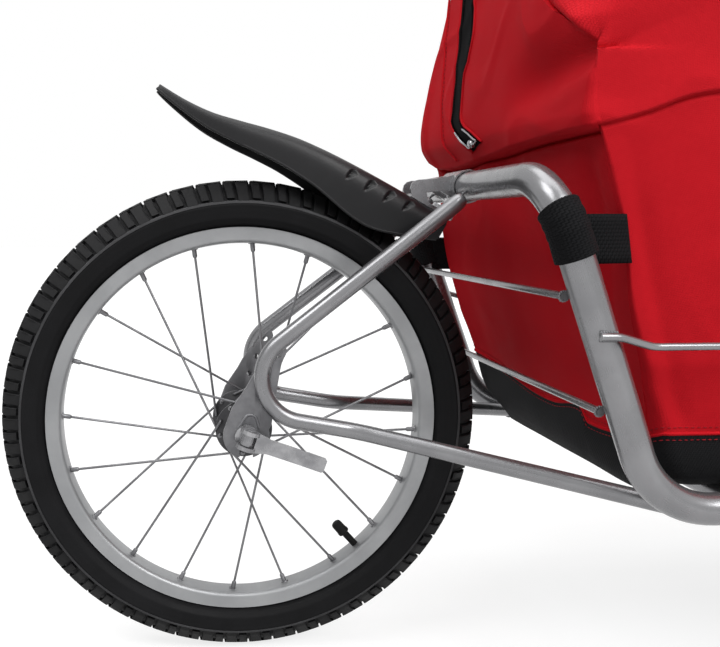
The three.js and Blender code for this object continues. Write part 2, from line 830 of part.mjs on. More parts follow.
function acrossCam(outline, width) {
  const shape = new THREE.Shape(outline);
  const geometry = new THREE.ExtrudeGeometry(shape, { depth: width, bevelEnabled: false });
  geometry.translate(0, 0, -width / 2);
  const frame = new THREE.Matrix4().makeBasis(leverDirection, leverOutward, camPinDirection);
  frame.setPosition(besideCam(0, 0, 0));
  return geometry.applyMatrix4(frame);
}

// A plate drawn along and across the lever, as thick as the cheeks are tall
function leverPlan(outline) {
  const shape = new THREE.Shape(outline.map(([along, across]) => new THREE.Vector2(along, across)));
  const geometry = new THREE.ExtrudeGeometry(shape, { depth: 2 * cheekRadius, bevelEnabled: false });
  geometry.translate(0, 0, -cheekRadius);
  const frame = new THREE.Matrix4().makeBasis(leverDirection, camPinDirection, leverOutward.clone().negate());
  frame.setPosition(besideCam(0, 0, 0));
  return geometry.applyMatrix4(frame);
}

function rectangle(fromX, fromY, toX, toY) {
  return [[fromX, fromY], [toX, fromY], [toX, toY], [fromX, toY]].map((pair) => new THREE.Vector2(...pair));
}

function leverSideOutline() {
  const upper = [];
  const lower = [];
  for (let step = 0; step <= leverCurveSteps; step += 1) {
    const share = step / leverCurveSteps;
    const rise = leverTipRise * share * share;
    upper.push(new THREE.Vector2(leverLength * share, rise + leverThickness / 2));
    lower.push(new THREE.Vector2(leverLength * share, rise - leverThickness / 2));
  }
  return [...lower, ...upper.reverse()];
}

function addQuickRelease() {
  const axle = turnedRing(mirroredProfile([
    [axleBoreRadius, dropoutOuterY - seatGap],
    [axleRadius, dropoutOuterY - seatGap],
  ]), hubSegments);
  addWheelPart("axle", axle, brightFinish);
  const nutFloorY = clampY + releaseNutLength - releaseNutWall;
  const skewerEnds = [vector(0, -(camPinY - camPinRadius - seatGap), 0), vector(0, nutFloorY - seatGap, 0)];
  addWheelPart("skewer", bar(...skewerEnds, skewerRadius), brightFinish);
  const skewerHole = skewerRadius + seatGap;
  const releaseNut = turned([
    [0, clampY + releaseNutLength],
    [releaseNutNoseRadius, clampY + releaseNutLength],
    [releaseNutRadius, clampY + releaseNutLength / 2],
    [releaseNutRadius, clampY],
    [skewerHole, clampY],
    [skewerHole, nutFloorY],
    [0, nutFloorY],
  ], hubSegments);
  addWheelPart("release_nut", releaseNut, brightFinish);
  const pinHalfLength = cheekOuter + camPinTail;
  const pinHole = bar(besideCam(0, 0, -pinHalfLength - cutOverrun), besideCam(0, 0, pinHalfLength + cutOverrun),
    camPinRadius + seatGap);
  const seatOutward = seatThickness - camPinStandoff;
  const housing = cut(
    joined(
      bar(vector(0, -clampY, 0), vector(0, -clampY - seatThickness, 0), seatRadius, hubSegments),
      acrossCam(rectangle(-eyeRadius, seatOutward - seatThickness / 2, eyeRadius, 0), 2 * eyeHalfWidth),
      bar(besideCam(0, 0, -eyeHalfWidth), besideCam(0, 0, eyeHalfWidth), eyeRadius, hubSegments),
    ),
    bar(vector(0, 0, 0), vector(0, -camPinY, 0), skewerHole),
    pinHole,
  );
  addWheelPart("release_housing", housing, brightFinish);
  addWheelPart("release_pin", bar(besideCam(0, 0, -pinHalfLength), besideCam(0, 0, pinHalfLength), camPinRadius),
    brightFinish);
  const halfWidth = leverWidth / 2;
  const edge = [
    [0, cheekOuter],
    [cheekLength, cheekOuter],
    [leverShoulderLength, halfWidth],
    [leverLength - leverTipChamfer, halfWidth],
    [leverLength, halfWidth - leverTipChamfer],
  ];
  const webStart = eyeRadius + leverThickness / 2;
  const plan = leverPlan([
    ...edge,
    ...edge.map(([along, across]) => [along, -across]).reverse(),
    [0, -cheekInner],
    [webStart, -cheekInner],
    [webStart, cheekInner],
    [0, cheekInner],
  ]);
  const side = acrossCam(leverSideOutline(), 2 * cheekOuter + cutOverrun);
  const arm = fromManifold(toManifold(side).intersect(toManifold(plan)));
  const cheeks = sides.map((way) => bar(besideCam(0, 0, way * cheekInner), besideCam(0, 0, way * cheekOuter),
    cheekRadius, hubSegments));
  addWheelPart("release_lever", cut(joined(arm, ...cheeks), pinHole), brightFinish);
}

// Main tube: one piece bent into rails, legs and the rear top bar, with a front hoop that mirrors it
const railJointX = frontCornerX - railJointSetback;
const legSlope = legSetback / (hoopHeight - railHeight);
const crossBarHeight = railHeight + crossBarRise;
const crossBarX = frontCornerX + crossBarRise * legSlope + crossBarLead;

function hoopCorners(endX, cornerX, topX) {
  return [
    vector(endX, -halfTrack, railHeight),
    vector(cornerX, -halfTrack, railHeight),
    vector(topX, -halfTrack, hoopHeight),
    vector(topX, halfTrack, hoopHeight),
    vector(cornerX, halfTrack, railHeight),
    vector(endX, halfTrack, railHeight),
  ];
}

const hoopBends = [lowerBendRadius, upperBendRadius, upperBendRadius, lowerBendRadius];
const rearHoopPath = new BentPath(hoopCorners(railJointX - seatGap, rearCornerX, rearHoopX), hoopBends);
const frontHoopPath = new BentPath(hoopCorners(railJointX, frontCornerX, frontHoopX), hoopBends);

function fatTube(path) {
  return sweepCircle(path, mainTubeRadius + seatGap, mainTubeSides);
}

function legX(height) {
  return rearCornerX - (height - railHeight) * legSlope;
}

function upTheLeg(share) {
  return THREE.MathUtils.lerp(railHeight, hoopHeight, share);
}

function crossBar(x, height, radius) {
  return bar(vector(x, -halfTrack, height), vector(x, halfTrack, height), radius);
}

function addMainTube() {
  const floorBars = [];
  const lastFloorX = railJointX - floorBarSetback / 2;
  for (let index = 0; index < floorBarCount; index += 1) {
    const firstFloorX = rearCornerX + floorBarSetback;
    const x = firstFloorX + ((lastFloorX - firstFloorX) * index) / (floorBarCount - 1);
    floorBars.push(crossBar(x, railHeight, floorBarRadius));
  }
  addPart("rear_frame", joined(sweepCircle(rearHoopPath, mainTubeRadius, mainTubeSides), ...floorBars), steelFinish);
  const frontFrame = joined(
    sweepCircle(frontHoopPath, mainTubeRadius, mainTubeSides),
    crossBar(crossBarX, crossBarHeight, crossBarRadius),
  );
  addPart("front_frame", frontFrame, steelFinish);
}

// Stays: one bent tube a side from the top bar round the axle to the rail, with a dropout plate in its bend
function dropoutOutline() {
  return [
    ...arcPoints(0, 0, dropoutLobeRadius, 165, 380, 7),
    ...dropoutEdgeShares.map(([x, rise]) => new THREE.Vector2(x * dropoutHeight, rise * dropoutHeight)),
  ];
}

function addStays() {
  const top = new THREE.Vector2(rearHoopX - stayTopSetback, hoopHeight - stayTopDrop);
  const kink = new THREE.Vector2(stayKinkX, tyreOuterRadius + stayKinkRise);
  const bendCentre = new THREE.Vector2(stayBendX, tyreOuterRadius + stayBendRise);
  const corner = bendCorner(bendCentre, stayBendRadius, top, kink);
  sides.forEach((side) => {
    const stay = tube([
      vector(top.x, side * stayTopY, top.y),
      vector(corner.x, side * stayBendY, corner.y),
      vector(kink.x, side * stayKinkY, kink.y),
      vector(rearCornerX + stayEndLead, side * stayEndY, railHeight - stayEndDrop),
    ], [stayBendRadius, stayKinkBendRadius], stayRadius, staySides);
    const [nearY, farY] = sideSpan(side, dropoutInnerY, dropoutOuterY);
    const plate = uprightPlate(dropoutOutline(), nearY, farY);
    const slotHalfWidth = axleRadius + dropoutSlotGap;
    const slot = uprightPlate([
      ...arcPoints(0, 0, slotHalfWidth, 0, 180, 6),
      new THREE.Vector2(-slotHalfWidth, -dropoutLobeRadius - cutOverrun),
      new THREE.Vector2(slotHalfWidth, -dropoutLobeRadius - cutOverrun),
    ], nearY - cutOverrun, farY + cutOverrun);
    const holes = dropoutHoleShares.map(([xShare, riseShare]) => {
      const place = vector(xShare * dropoutHeight, side * dropoutInnerY, riseShare * dropoutHeight);
      const reach = vector(0, side * (dropoutThickness + cutOverrun), 0);
      return bar(place.clone().sub(reach), place.add(reach), dropoutHoleRadius, rodSides);
    });
    [plate, slot, ...holes].forEach((piece) => piece.translate(0, 0, tyreOuterRadius));
    const drilled = cut(plate, slot, ...holes);
    addPart(`stay_${sideName(side)}`, cut(joined(stay, drilled), fatTube(rearHoopPath)), steelFinish);
  });
}

// Guard rods: two across the legs behind the bag and one along each side
function addRods() {
  [["rear_rod_upper", upperRearRodShare], ["rear_rod_lower", lowerRearRodShare]].forEach(([name, share]) => {
    const height = upTheLeg(share);
    const x = legX(height) - rearRodSetback;
    const reach = halfTrack - mainTubeRadius / 2;
    const rod = bar(vector(x, -reach, height), vector(x, reach, height), rodRadius, rodSides);
    addPart(name, cut(rod, fatTube(rearHoopPath)), steelFinish);
  });
  const endHeight = upTheLeg(sideRodEndShare);
  const endX = legX(endHeight);
  const bedMiddleX = (rearCornerX + frontCornerX) / 2;
  const outerY = halfTrack + mainTubeRadius + rodRadius + seatGap;
  sides.forEach((side) => {
    const places = [
      [endX - sideRodStart, outerY, endHeight],
      [endX + sideRodStart, outerY, endHeight],
      [endX + sideRodStart + sideRodRun, outerY - sideRodInset, upTheLeg(sideRodShare)],
    ];
    const mirrored = places.map(([x, y, height]) => [2 * bedMiddleX - x, y, height]).reverse();
    const corners = [...places, ...mirrored].map(([x, y, height]) => vector(x, side * y, height));
    const bends = Array(4).fill(sideRodBendRadius);
    addPart(`side_rod_${sideName(side)}`, tube(corners, bends, rodRadius, rodSides), steelFinish);
  });
}

// Mudguard: a channel that follows the tyre, deepest beside the tread and drawn out to a thin rear tip
function aroundTyre(degrees, standoff) {
  return inWheelPlane(degrees, tyreOuterRadius + standoff).add(vector(0, 0, tyreOuterRadius));
}

const guardCurve = new THREE.CatmullRomCurve3([
  aroundTyre(guardTipDegrees, guardTipStandoff),
  aroundTyre(guardLeadDegrees, guardLeadStandoff),
  aroundTyre(guardCrownDegrees, guardCrownStandoff),
  aroundTyre(guardMidDegrees, guardMidStandoff),
  vector(rearHoopX - guardEndSetback, 0, hoopHeight - guardEndDrop),
]);

// A point of the guard at a share along its top and a share round its section, under the outside by an inset
function guardPoint(share, turnShare, inset = 0) {
  const tangent = guardCurve.getTangentAt(share);
  const outward = vector(-tangent.z, 0, tangent.x);
  const halfWidth = THREE.MathUtils.lerp(guardTipHalfWidth, guardHalfWidth, shareAt(guardWidthShares, share)) - inset;
  const depth = THREE.MathUtils.lerp(guardTipDepth, guardSkirtDepth, shareAt(guardDepthShares, share));
  const angle = Math.PI * turnShare;
  const across = -Math.sign(Math.cos(angle)) * Math.abs(Math.cos(angle)) ** guardCrownPowerShare * halfWidth;
  const fall = (1 - Math.sin(angle) ** guardCrownPowerShare) * (depth - inset) + inset;
  const atEdge = turnShare === 0 || turnShare === 1;
  return guardCurve.getPointAt(share).addScaledVector(outward, atEdge ? -depth : -fall).add(vector(0, across, 0));
}

function guardGrid(inset) {
  const rows = [];
  for (let row = 0; row <= guardStations; row += 1) {
    const points = [];
    for (let column = 0; column <= guardSectionSteps; column += 1) {
      points.push(guardPoint(row / guardStations, column / guardSectionSteps, inset));
    }
    rows.push(points);
  }
  return rows;
}

// The pressed gills on both flanks, broad at the top and drawn out to the foot
function gillCutters() {
  return sides.flatMap((side) => Array.from({ length: gillCount }, (_, index) => {
    const share = gillFirstShare + gillStepShare * index;
    const turned = (turnShare) => (side < 0 ? turnShare : 1 - turnShare);
    const standoff = vector(0, side * gillStandoff, 0);
    const top = guardPoint(share, turned(gillTopShare)).add(standoff);
    const foot = guardPoint(share - gillLeanShare, turned(gillFootShare)).add(standoff);
    const length = top.distanceTo(foot);
    return steppedBar(top, foot, [[0, gillEndRadius], [length * gillBroadShare, gillRadius], [length, gillEndRadius]],
      wireSides);
  }));
}

function guardTopHeight(x) {
  const points = guardCurve.getSpacedPoints(guardStations * 4);
  const next = points.findIndex((point) => point.x >= x);
  return THREE.MathUtils.mapLinear(x, points[next - 1].x, points[next].x, points[next - 1].z, points[next].z);
}

// Saddle bracket: a clamp round the top bar whose two cheeks run back to a tongue, bolted down on the mudguard
const bracketRearX = rearHoopX - bracketRearSetback;
const bracketFrontX = rearHoopX - bracketFrontSetback;
const bracketBoltXs = bracketBoltSetbacks.map((setback) => rearHoopX - setback);
const tongueTestX = bracketRearX + bracketBoltHeadRadius;
const tongueFall = guardTopHeight(tongueTestX) - guardTopHeight(bracketBoltXs[1]);
const tongueSlope = tongueFall / (bracketBoltXs[1] - tongueTestX);
const tongueNormal = vector(tongueSlope, 0, 1).normalize();
const tongueAlong = vector(1, 0, -tongueSlope).normalize();

const tongueBase = vector(bracketBoltXs[0], 0, guardTopHeight(bracketBoltXs[0]));
const tongueStations = guardCurve.getSpacedPoints(guardStations * 4)
  .filter(({ x }) => x > bracketRearX - bracketBoltHeadRadius && x < bracketFrontX + bracketBoltHeadRadius);
const guardBulge = Math.max(...tongueStations.map((point) => point.sub(tongueBase).dot(tongueNormal)));
const tongueLift = guardBulge + bracketTongueLift;

// A point over the tongue's underside, which lies clear of the guard's highest place below it
function onTongue(x, lift) {
  return tongueBase.clone().addScaledVector(tongueAlong, (x - bracketBoltXs[0]) / tongueAlong.x)
    .addScaledVector(tongueNormal, tongueLift + lift);
}

function inPlan(point) {
  return new THREE.Vector2(point.x, point.z);
}

function cheekOutline(clampRadius) {
  const lobe = onTongue(rearHoopX - bracketLobeSetback, bracketLobeRise);
  const kneeX = rearHoopX - clampRadius - bracketLobeRadius;
  const inset = clampRadius * Math.SQRT1_2;
  const middle = bracketTongueThickness / 2;
  return [
    ...arcPoints(lobe.x, lobe.z, bracketLobeRadius, 90, 210, 4),
    inPlan(onTongue(bracketRearX, middle)),
    inPlan(onTongue(bracketRearX + bracketFootLength, middle)),
    new THREE.Vector2(lobe.x + bracketLobeRadius, lobe.z - bracketLobeRadius / 2),
    new THREE.Vector2(kneeX, hoopHeight - bracketLobeRadius / 2),
    new THREE.Vector2(rearHoopX - inset, hoopHeight - inset),
    new THREE.Vector2(rearHoopX - inset, hoopHeight + inset),
    new THREE.Vector2(kneeX, hoopHeight + bracketLobeRadius),
  ];
}

function boltHole(x) {
  return bar(onTongue(x, -guardSkirtDepth / 2), onTongue(x, guardSkirtDepth / 2), bracketBoltRadius + seatGap);
}

function addMudguardAndBracket() {
  const guard = skin(guardGrid(0), guardGrid(guardThickness));
  addPart("mudguard", cut(guard, ...bracketBoltXs.map(boltHole), ...gillCutters()), blackPlasticFinish);
  const barCentre = vector(rearHoopX, 0, hoopHeight);
  const clampRadius = mainTubeRadius + seatGap + bracketThickness;
  const cheekOuterY = bracketCheekInnerY + bracketThickness;
  const across = vector(0, bracketHalfWidth, 0);
  const clamp = bar(barCentre.clone().sub(across), barCentre.clone().add(across), clampRadius, hubSegments);
  const bore = bar(barCentre.clone().addScaledVector(across, -2), barCentre.clone().addScaledVector(across, 2),
    mainTubeRadius + seatGap + seatGap, hubSegments);
  const tongue = uprightPlate([onTongue(bracketRearX, 0), onTongue(bracketFrontX, 0),
    onTongue(bracketFrontX, bracketTongueThickness), onTongue(bracketRearX, bracketTongueThickness)].map(inPlan),
  -cheekOuterY, cheekOuterY);
  const cheeks = sides.map((side) => uprightPlate(cheekOutline(clampRadius), ...sideSpan(side, bracketCheekInnerY,
    cheekOuterY)));
  const bracket = cut(joined(clamp, tongue, ...cheeks), bore, ...bracketBoltXs.map(boltHole));
  addPart("saddle_bracket", bracket, brightFinish);
  bracketBoltXs.forEach((x, index) => {
    const headBase = bracketTongueThickness + seatGap;
    const nutTop = -tongueLift - guardThickness - bracketNutGap;
    const nutAt = bracketBoltHeadLength + headBase - nutTop;
    const bolt = steppedBar(onTongue(x, headBase + bracketBoltHeadLength), onTongue(x, nutTop), [
      [0, bracketBoltHeadRadius],
      [bracketBoltHeadLength, bracketBoltHeadRadius],
      [bracketBoltHeadLength, bracketBoltRadius],
      [nutAt, bracketBoltRadius],
      [nutAt, bracketBoltHeadRadius],
      [nutAt + bracketBoltNutLength, bracketBoltHeadRadius],
    ], lockNutSides);
    addPart(`mudguard_bolt_${index + 1}`, bolt, brightFinish);
  });
}

// Neck: a bent tube from the front cross bar to the head tube, braced from the front top bar
const headTubeBottom = hitchHeight - headTubeHalfLength;
const headTubeTop = hitchHeight + headTubeHalfLength;
const upperLugBottom = headTubeTop + seatGap + bushFlangeThickness + seatGap;
const upperLugTop = upperLugBottom + lugThickness;
const lowerLugTop = headTubeBottom - seatGap;
const lowerLugBottom = lowerLugTop - lugThickness;

function pivotPoint(height) {
  return vector(pivotX, 0, height);
}

function addNeck() {
  const neckTube = tube([
    vector(crossBarX, 0, crossBarHeight),
    vector(pivotX - neckKneeSetback, 0, railHeight + neckKneeRise),
    vector(pivotX - headTubeBoreRadius, 0, hitchHeight - neckTopDrop),
  ], [neckKneeRadius], neckRadius);
  const brace = bar(vector(frontHoopX, 0, hoopHeight), pivotPoint(hitchHeight + braceTopRise), braceRadius);
  const head = bar(pivotPoint(headTubeBottom), pivotPoint(headTubeTop), headTubeRadius, hubSegments);
  const bore = bar(pivotPoint(headTubeBottom - cutOverrun), pivotPoint(headTubeTop + cutOverrun), headTubeBoreRadius,
    hubSegments);
  const crossBarCut = crossBar(crossBarX, crossBarHeight, crossBarRadius + seatGap);
  const lugRoom = [[headTubeTop, upperLugTop + cutOverrun], [lowerLugBottom - cutOverrun, headTubeBottom]]
    .map(([bottom, top]) => bar(pivotPoint(bottom), pivotPoint(top), lugRadius + cutOverrun, hubSegments));
  const cutters = [bore, ...lugRoom, fatTube(frontHoopPath), crossBarCut];
  addPart("neck", cut(joined(neckTube, brace, head), ...cutters), steelFinish);
}

const bushRadius = headTubeBoreRadius - seatGap;
const bushBoreRadius = bushRadius - bushWall;
const lugBoreRadius = pivotBoltRadius + seatGap;

function addPivot() {
  const flangeBottom = headTubeTop + seatGap;
  const bush = cut(
    joined(
      bar(pivotPoint(headTubeBottom), pivotPoint(flangeBottom + bushFlangeThickness), bushRadius, hubSegments),
      bar(pivotPoint(flangeBottom), pivotPoint(flangeBottom + bushFlangeThickness), bushFlangeRadius, hubSegments),
    ),
    bar(pivotPoint(headTubeBottom - cutOverrun), pivotPoint(headTubeTop + cutOverrun + bushFlangeThickness),
      bushBoreRadius, hubSegments),
  );
  addPart("pivot_bush", bush, blackPlasticFinish);
  const headBase = upperLugTop + seatGap;
  const nutTop = lowerLugBottom - seatGap;
  const boltEnd = nutTop - pivotNutLength - pivotTail;
  const bolt = steppedBar(pivotPoint(headBase + pivotHeadLength), pivotPoint(boltEnd), [
    [0, pivotHeadRadius],
    [pivotHeadLength, pivotHeadRadius],
    [pivotHeadLength, pivotBoltRadius],
    [headBase + pivotHeadLength - boltEnd, pivotBoltRadius],
  ], tubeSides);
  addPart("pivot_bolt", bolt, brightFinish);
  const nut = cut(
    bar(pivotPoint(nutTop), pivotPoint(nutTop - pivotNutLength), pivotHeadRadius, pivotNutSides),
    bar(pivotPoint(nutTop + cutOverrun), pivotPoint(nutTop - pivotNutLength - cutOverrun), lugBoreRadius),
  );
  addPart("pivot_nut", nut, brightFinish);
}

// Hitch fork: a clevis over the head tube, a yoke block and two arms that straddle the bicycle's rear wheel
const forkEndX = pivotX + forkReach;
const forkArmY = forkHalfGap + forkArmRadius;

function lugOutline() {
  return [
    ...arcPoints(pivotX, 0, lugRadius, rightAngleDegrees, 3 * rightAngleDegrees, 6),
    new THREE.Vector2(pivotX + yokeReach, -lugRadius),
    new THREE.Vector2(pivotX + yokeReach, lugRadius),
  ];
}

function forkArm(side) {
  return tube([
    vector(pivotX + yokeReach - yokeDepth / 2, side * forkArmRootY / 2, hitchHeight),
    vector(pivotX + forkShoulderReach, side * forkArmY, hitchHeight),
    vector(forkEndX - forkEndTail / 2, side * forkArmY, hitchHeight),
  ], [forkShoulderRadius], forkArmRadius);
}

function forkEndOutline() {
  return [
    ...arcPoints(forkEndX, hitchHeight, forkEndRadius, -120, 120, 6),
    new THREE.Vector2(forkEndX - forkEndTail, hitchHeight + forkArmRadius),
    new THREE.Vector2(forkEndX - forkEndTail, hitchHeight - forkArmRadius),
  ];
}

function forkEnd(side) {
  return uprightPlate(forkEndOutline(), ...sideSpan(side, forkHalfGap, forkHalfGap + forkEndThickness));
}

function forkSlot(side) {
  const slotHalfWidth = forkSlotWidth / 2;
  return uprightPlate([
    ...arcPoints(forkEndX, hitchHeight, slotHalfWidth, 0, 180, 6),
    new THREE.Vector2(forkEndX - slotHalfWidth, hitchHeight - forkEndRadius - cutOverrun),
    new THREE.Vector2(forkEndX + slotHalfWidth, hitchHeight - forkEndRadius - cutOverrun),
  ], ...sideSpan(side, forkHalfGap - cutOverrun, forkHalfGap + 2 * forkArmRadius + cutOverrun));
}

const lockPinY = forkHalfGap + forkEndThickness / 2;
const lockPinHeight = hitchHeight - lockPinDrop;
const lockPinRearX = forkEndX - forkEndRadius - lockPinOverhang;
const lockPinFrontX = forkEndX + forkEndRadius;

function lockPinBar(side, radius) {
  return bar(vector(lockPinRearX, side * lockPinY, lockPinHeight), vector(lockPinFrontX, side * lockPinY,
    lockPinHeight), radius, rodSides);
}

function addFork() {
  const yoke = levelPlate([
    new THREE.Vector2(pivotX + yokeReach - yokeDepth, -lugRadius),
    new THREE.Vector2(pivotX + yokeReach, -lugRadius),
    new THREE.Vector2(pivotX + yokeReach, lugRadius),
    new THREE.Vector2(pivotX + yokeReach - yokeDepth, lugRadius),
  ], lowerLugBottom, upperLugTop);
  const body = joined(
    yoke,
    levelPlate(lugOutline(), lowerLugBottom, lowerLugTop),
    levelPlate(lugOutline(), upperLugBottom, upperLugTop),
    ...sides.map(forkArm),
    ...sides.map(forkEnd),
  );
  const boltBore = bar(pivotPoint(lowerLugBottom - cutOverrun), pivotPoint(upperLugTop + cutOverrun), lugBoreRadius,
    hubSegments);
  const pinBores = sides.map((side) => lockPinBar(side, lockPinRadius + seatGap));
  addPart("hitch_fork", cut(body, boltBore, ...sides.map(forkSlot), ...pinBores), steelFinish);
  sides.forEach((side) => {
    const ring = new THREE.TorusGeometry(lockPinRingRadius, lockPinRingWire, wireSides, lockPinRingSegments);
    ring.rotateX(Math.PI / 2);
    ring.translate(lockPinFrontX + lockPinRingRadius, side * lockPinY, lockPinHeight);
    addPart(`lock_pin_${sideName(side)}`, joined(lockPinBar(side, lockPinRadius), ring), brightFinish);
  });
}

// Bag: a rounded box lofted upward, leaning with the legs, over a black base band
const bagFloorHeight = railHeight + floorBarRadius + seatGap;
const bagBaseHeight = bagFloorHeight + bagBandHeight;

function bagHeightShare(height) {
  return (height - bagFloorHeight) / (bagTopHeight - bagFloorHeight);
}

function bagHalfWidthAt(height) {
  return bagHalfWidth + bagBulge * bagHeightShare(height);
}

function bagRing(height, shrink, wall = 0) {
  const lean = bagLean * shareAt(bagRearShares, bagHeightShare(height));
  const middleX = (rearCornerX + frontCornerX) / 2;
  const halfLength = (middleX - rearCornerX - bagRearLead + lean) * shrink - wall;
  const halfWidth = bagHalfWidthAt(height) * shrink - wall;
  const corner = bagCornerRadius * shrink - wall;
  return [[1, 1], [-1, 1], [-1, -1], [1, -1]].flatMap(([ahead, beside], quarter) => {
    const from = rightAngleDegrees * quarter;
    return arcPoints(middleX + ahead * (halfLength - corner), beside * (halfWidth - corner), corner, from,
      from + rightAngleDegrees, bagCornerSteps).map(({ x, y }) => vector(x, y, height));
  });
}

function bagBodyLoft(levelShares, wall) {
  return lofted(levelShares.map((share) => bagRing(
    THREE.MathUtils.lerp(bagBaseHeight, bagTopHeight, share) - wall, shareAt(bagCrownShares, share), wall)));
}

function bagBaseLoft(roundShares, floor, top, wall) {
  return lofted(roundShares.map(([share, shrink]) => bagRing(THREE.MathUtils.lerp(floor, top, share), shrink, wall)));
}

function addBag() {
  const baseTop = bagBaseHeight - seatGap;
  const base = cut(
    bagBaseLoft(bagBaseRoundShares, bagFloorHeight, baseTop, 0),
    bagBaseLoft(bagBaseInnerShares, bagFloorHeight + bagFloorThickness, baseTop + cutOverrun, bagWall),
  );
  addPart("bag_base", base, blackFabricFinish);
  const shell = cut(bagBodyLoft(bagLevelShares, 0), bagBodyLoft(bagInnerLevelShares, bagWall));
  addPart("bag_body", shell, redFabricFinish);
}

// Leg straps: webbing wrapped round each leg below the upper bend, with a tab sewn to the bag's side
function pathPortion(path, startLength, endLength) {
  const stations = [];
  let travelled = 0;
  for (let index = 0; index < path.steps; index += 1) {
    const from = path.stations[index];
    const to = path.stations[index + 1];
    const run = from.point.distanceTo(to.point);
    const chord = to.point.clone().sub(from.point).normalize();
    const starts = startLength >= travelled && startLength < travelled + run;
    const ends = endLength > travelled && endLength <= travelled + run;
    if (starts) {
      stations.push({ point: from.point.clone().addScaledVector(chord, startLength - travelled), tangent: chord });
    }
    if (ends) {
      stations.push({ point: from.point.clone().addScaledVector(chord, endLength - travelled), tangent: chord });
    }
    travelled += run;
    if (travelled > startLength && travelled < endLength) stations.push(to);
  }
  const portion = new BentPath([stations[0].point, stations[stations.length - 1].point], []);
  portion.stations = stations;
  portion.steps = stations.length - 1;
  return portion;
}

function addStraps() {
  sides.forEach((side) => {
    const legTop = vector(rearHoopX, side * halfTrack, hoopHeight);
    const legFoot = vector(rearCornerX, side * halfTrack, railHeight);
    const barMiddle = vector(rearHoopX, 0, hoopHeight);
    const path = new BentPath([barMiddle, legTop, legFoot], [upperBendRadius]);
    const bendEnd = halfTrack - upperBendRadius + (upperBendRadius * Math.PI) / 2;
    const end = bendEnd + strapBelowBend;
    const portion = pathPortion(path, end - strapWidth, end);
    const inner = (mainTubeRadius + seatGap) / Math.cos(Math.PI / mainTubeSides);
    const loop = sweepCircle(portion, inner + strapThickness, mainTubeSides, inner);
    const tabHeight = hoopHeight - strapTabDrop;
    const tabTop = tabHeight + strapTabWidth;
    const tabRear = portion.stations[0].point.x;
    const tabInnerY = bagHalfWidthAt(tabTop) + seatGap;
    const tab = uprightPlate(rectangle(tabRear, tabHeight, tabRear + strapTabLength, tabTop),
      ...sideSpan(side, tabInnerY, tabInnerY + strapTabThickness));
    const clearTab = cut(tab, fatTube(rearHoopPath));
    addPart(`leg_strap_${sideName(side)}`, joined(loop, clearTab), webbingFinish);
  });
}

addTyreAndRim();
addSpokes();
addHub();
addQuickRelease();
addMainTube();
addStays();
addRods();
addMudguardAndBracket();
addNeck();
addPivot();
addFork();
addBag();
addStraps();

export default trailer;
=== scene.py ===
"""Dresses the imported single-wheel bicycle trailer: tubes, laced wheel, mudguard, hitch fork and luggage bag.

Shapes are worked out in millimetres, with X zero at the wheel's axle and Z zero on the ground,
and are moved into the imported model's frame as each piece is made.
"""

from __future__ import annotations

import logging
import math
from dataclasses import dataclass, field
from enum import Enum
from typing import Callable, Iterable, Sequence

import bmesh
import bpy
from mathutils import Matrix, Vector, noise

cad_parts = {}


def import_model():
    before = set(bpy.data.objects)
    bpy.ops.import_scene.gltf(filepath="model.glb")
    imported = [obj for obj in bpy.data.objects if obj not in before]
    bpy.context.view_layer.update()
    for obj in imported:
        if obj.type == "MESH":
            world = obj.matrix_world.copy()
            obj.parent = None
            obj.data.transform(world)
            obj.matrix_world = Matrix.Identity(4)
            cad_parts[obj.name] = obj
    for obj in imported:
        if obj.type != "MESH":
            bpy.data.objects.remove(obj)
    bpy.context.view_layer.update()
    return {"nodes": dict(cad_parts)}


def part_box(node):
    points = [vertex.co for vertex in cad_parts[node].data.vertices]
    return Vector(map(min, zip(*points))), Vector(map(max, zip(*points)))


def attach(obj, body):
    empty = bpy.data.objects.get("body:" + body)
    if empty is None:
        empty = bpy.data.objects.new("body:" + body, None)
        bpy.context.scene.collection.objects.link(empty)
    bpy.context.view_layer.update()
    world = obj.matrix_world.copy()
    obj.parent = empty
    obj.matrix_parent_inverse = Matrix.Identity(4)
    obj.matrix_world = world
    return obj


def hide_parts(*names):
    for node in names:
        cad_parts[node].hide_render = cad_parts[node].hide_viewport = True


LOG = logging.getLogger("trailer")
MM = 0.001
UP = Vector((0.0, 0.0, 1.0))
ACROSS = Vector((0.0, 1.0, 0.0))
FULL_TURN = 2.0 * math.pi
STEEP = 0.9
Triple = tuple[float, float, float]
Table = tuple[tuple[float, float], ...]
Feed = bpy.types.NodeSocket | float


class Side(Enum):
    """The trailer's two sides, with the sign of Y on each."""

    RIGHT = -1
    LEFT = 1

    @property
    def label(self) -> str:
        """The side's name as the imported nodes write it."""
        return self.name.lower()


class Body(Enum):
    """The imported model's bodies that new pieces ride on."""

    FRAME = "frame"
    WHEEL = "wheel"


class Slot(Enum):
    """The record's material slots."""

    FRAME_STEEL = "frame_steel"
    BRIGHT_STEEL = "bright_steel"
    RIM_ALLOY = "rim_alloy"
    TYRE_RUBBER = "tyre_rubber"
    BLACK_PLASTIC = "black_plastic"
    WEBBING = "webbing"
    BLACK_FABRIC = "black_fabric"
    RED_FABRIC = "red_fabric"


# Places and paths


def held(value: float) -> float:
    """A value held between nought and one."""
    return min(max(value, 0.0), 1.0)


def bell(offset: float, width: float) -> float:
    """One where there is no offset, falling smoothly to nought over about two widths."""
    return math.exp(-(offset / width) ** 2)


def inward_shift() -> float:
    """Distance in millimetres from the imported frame's X zero to the axle."""
    low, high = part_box("rim")
    return (low.x + high.x) / (2.0 * MM)


def on_circle(degrees: float, radius: float, y: float, centre_z: float) -> Vector:
    """A point on a circle about the wheel's axle, at an angle from forward towards up."""
    turn = math.radians(degrees)
    return Vector((radius * math.cos(turn), y, centre_z + radius * math.sin(turn)))


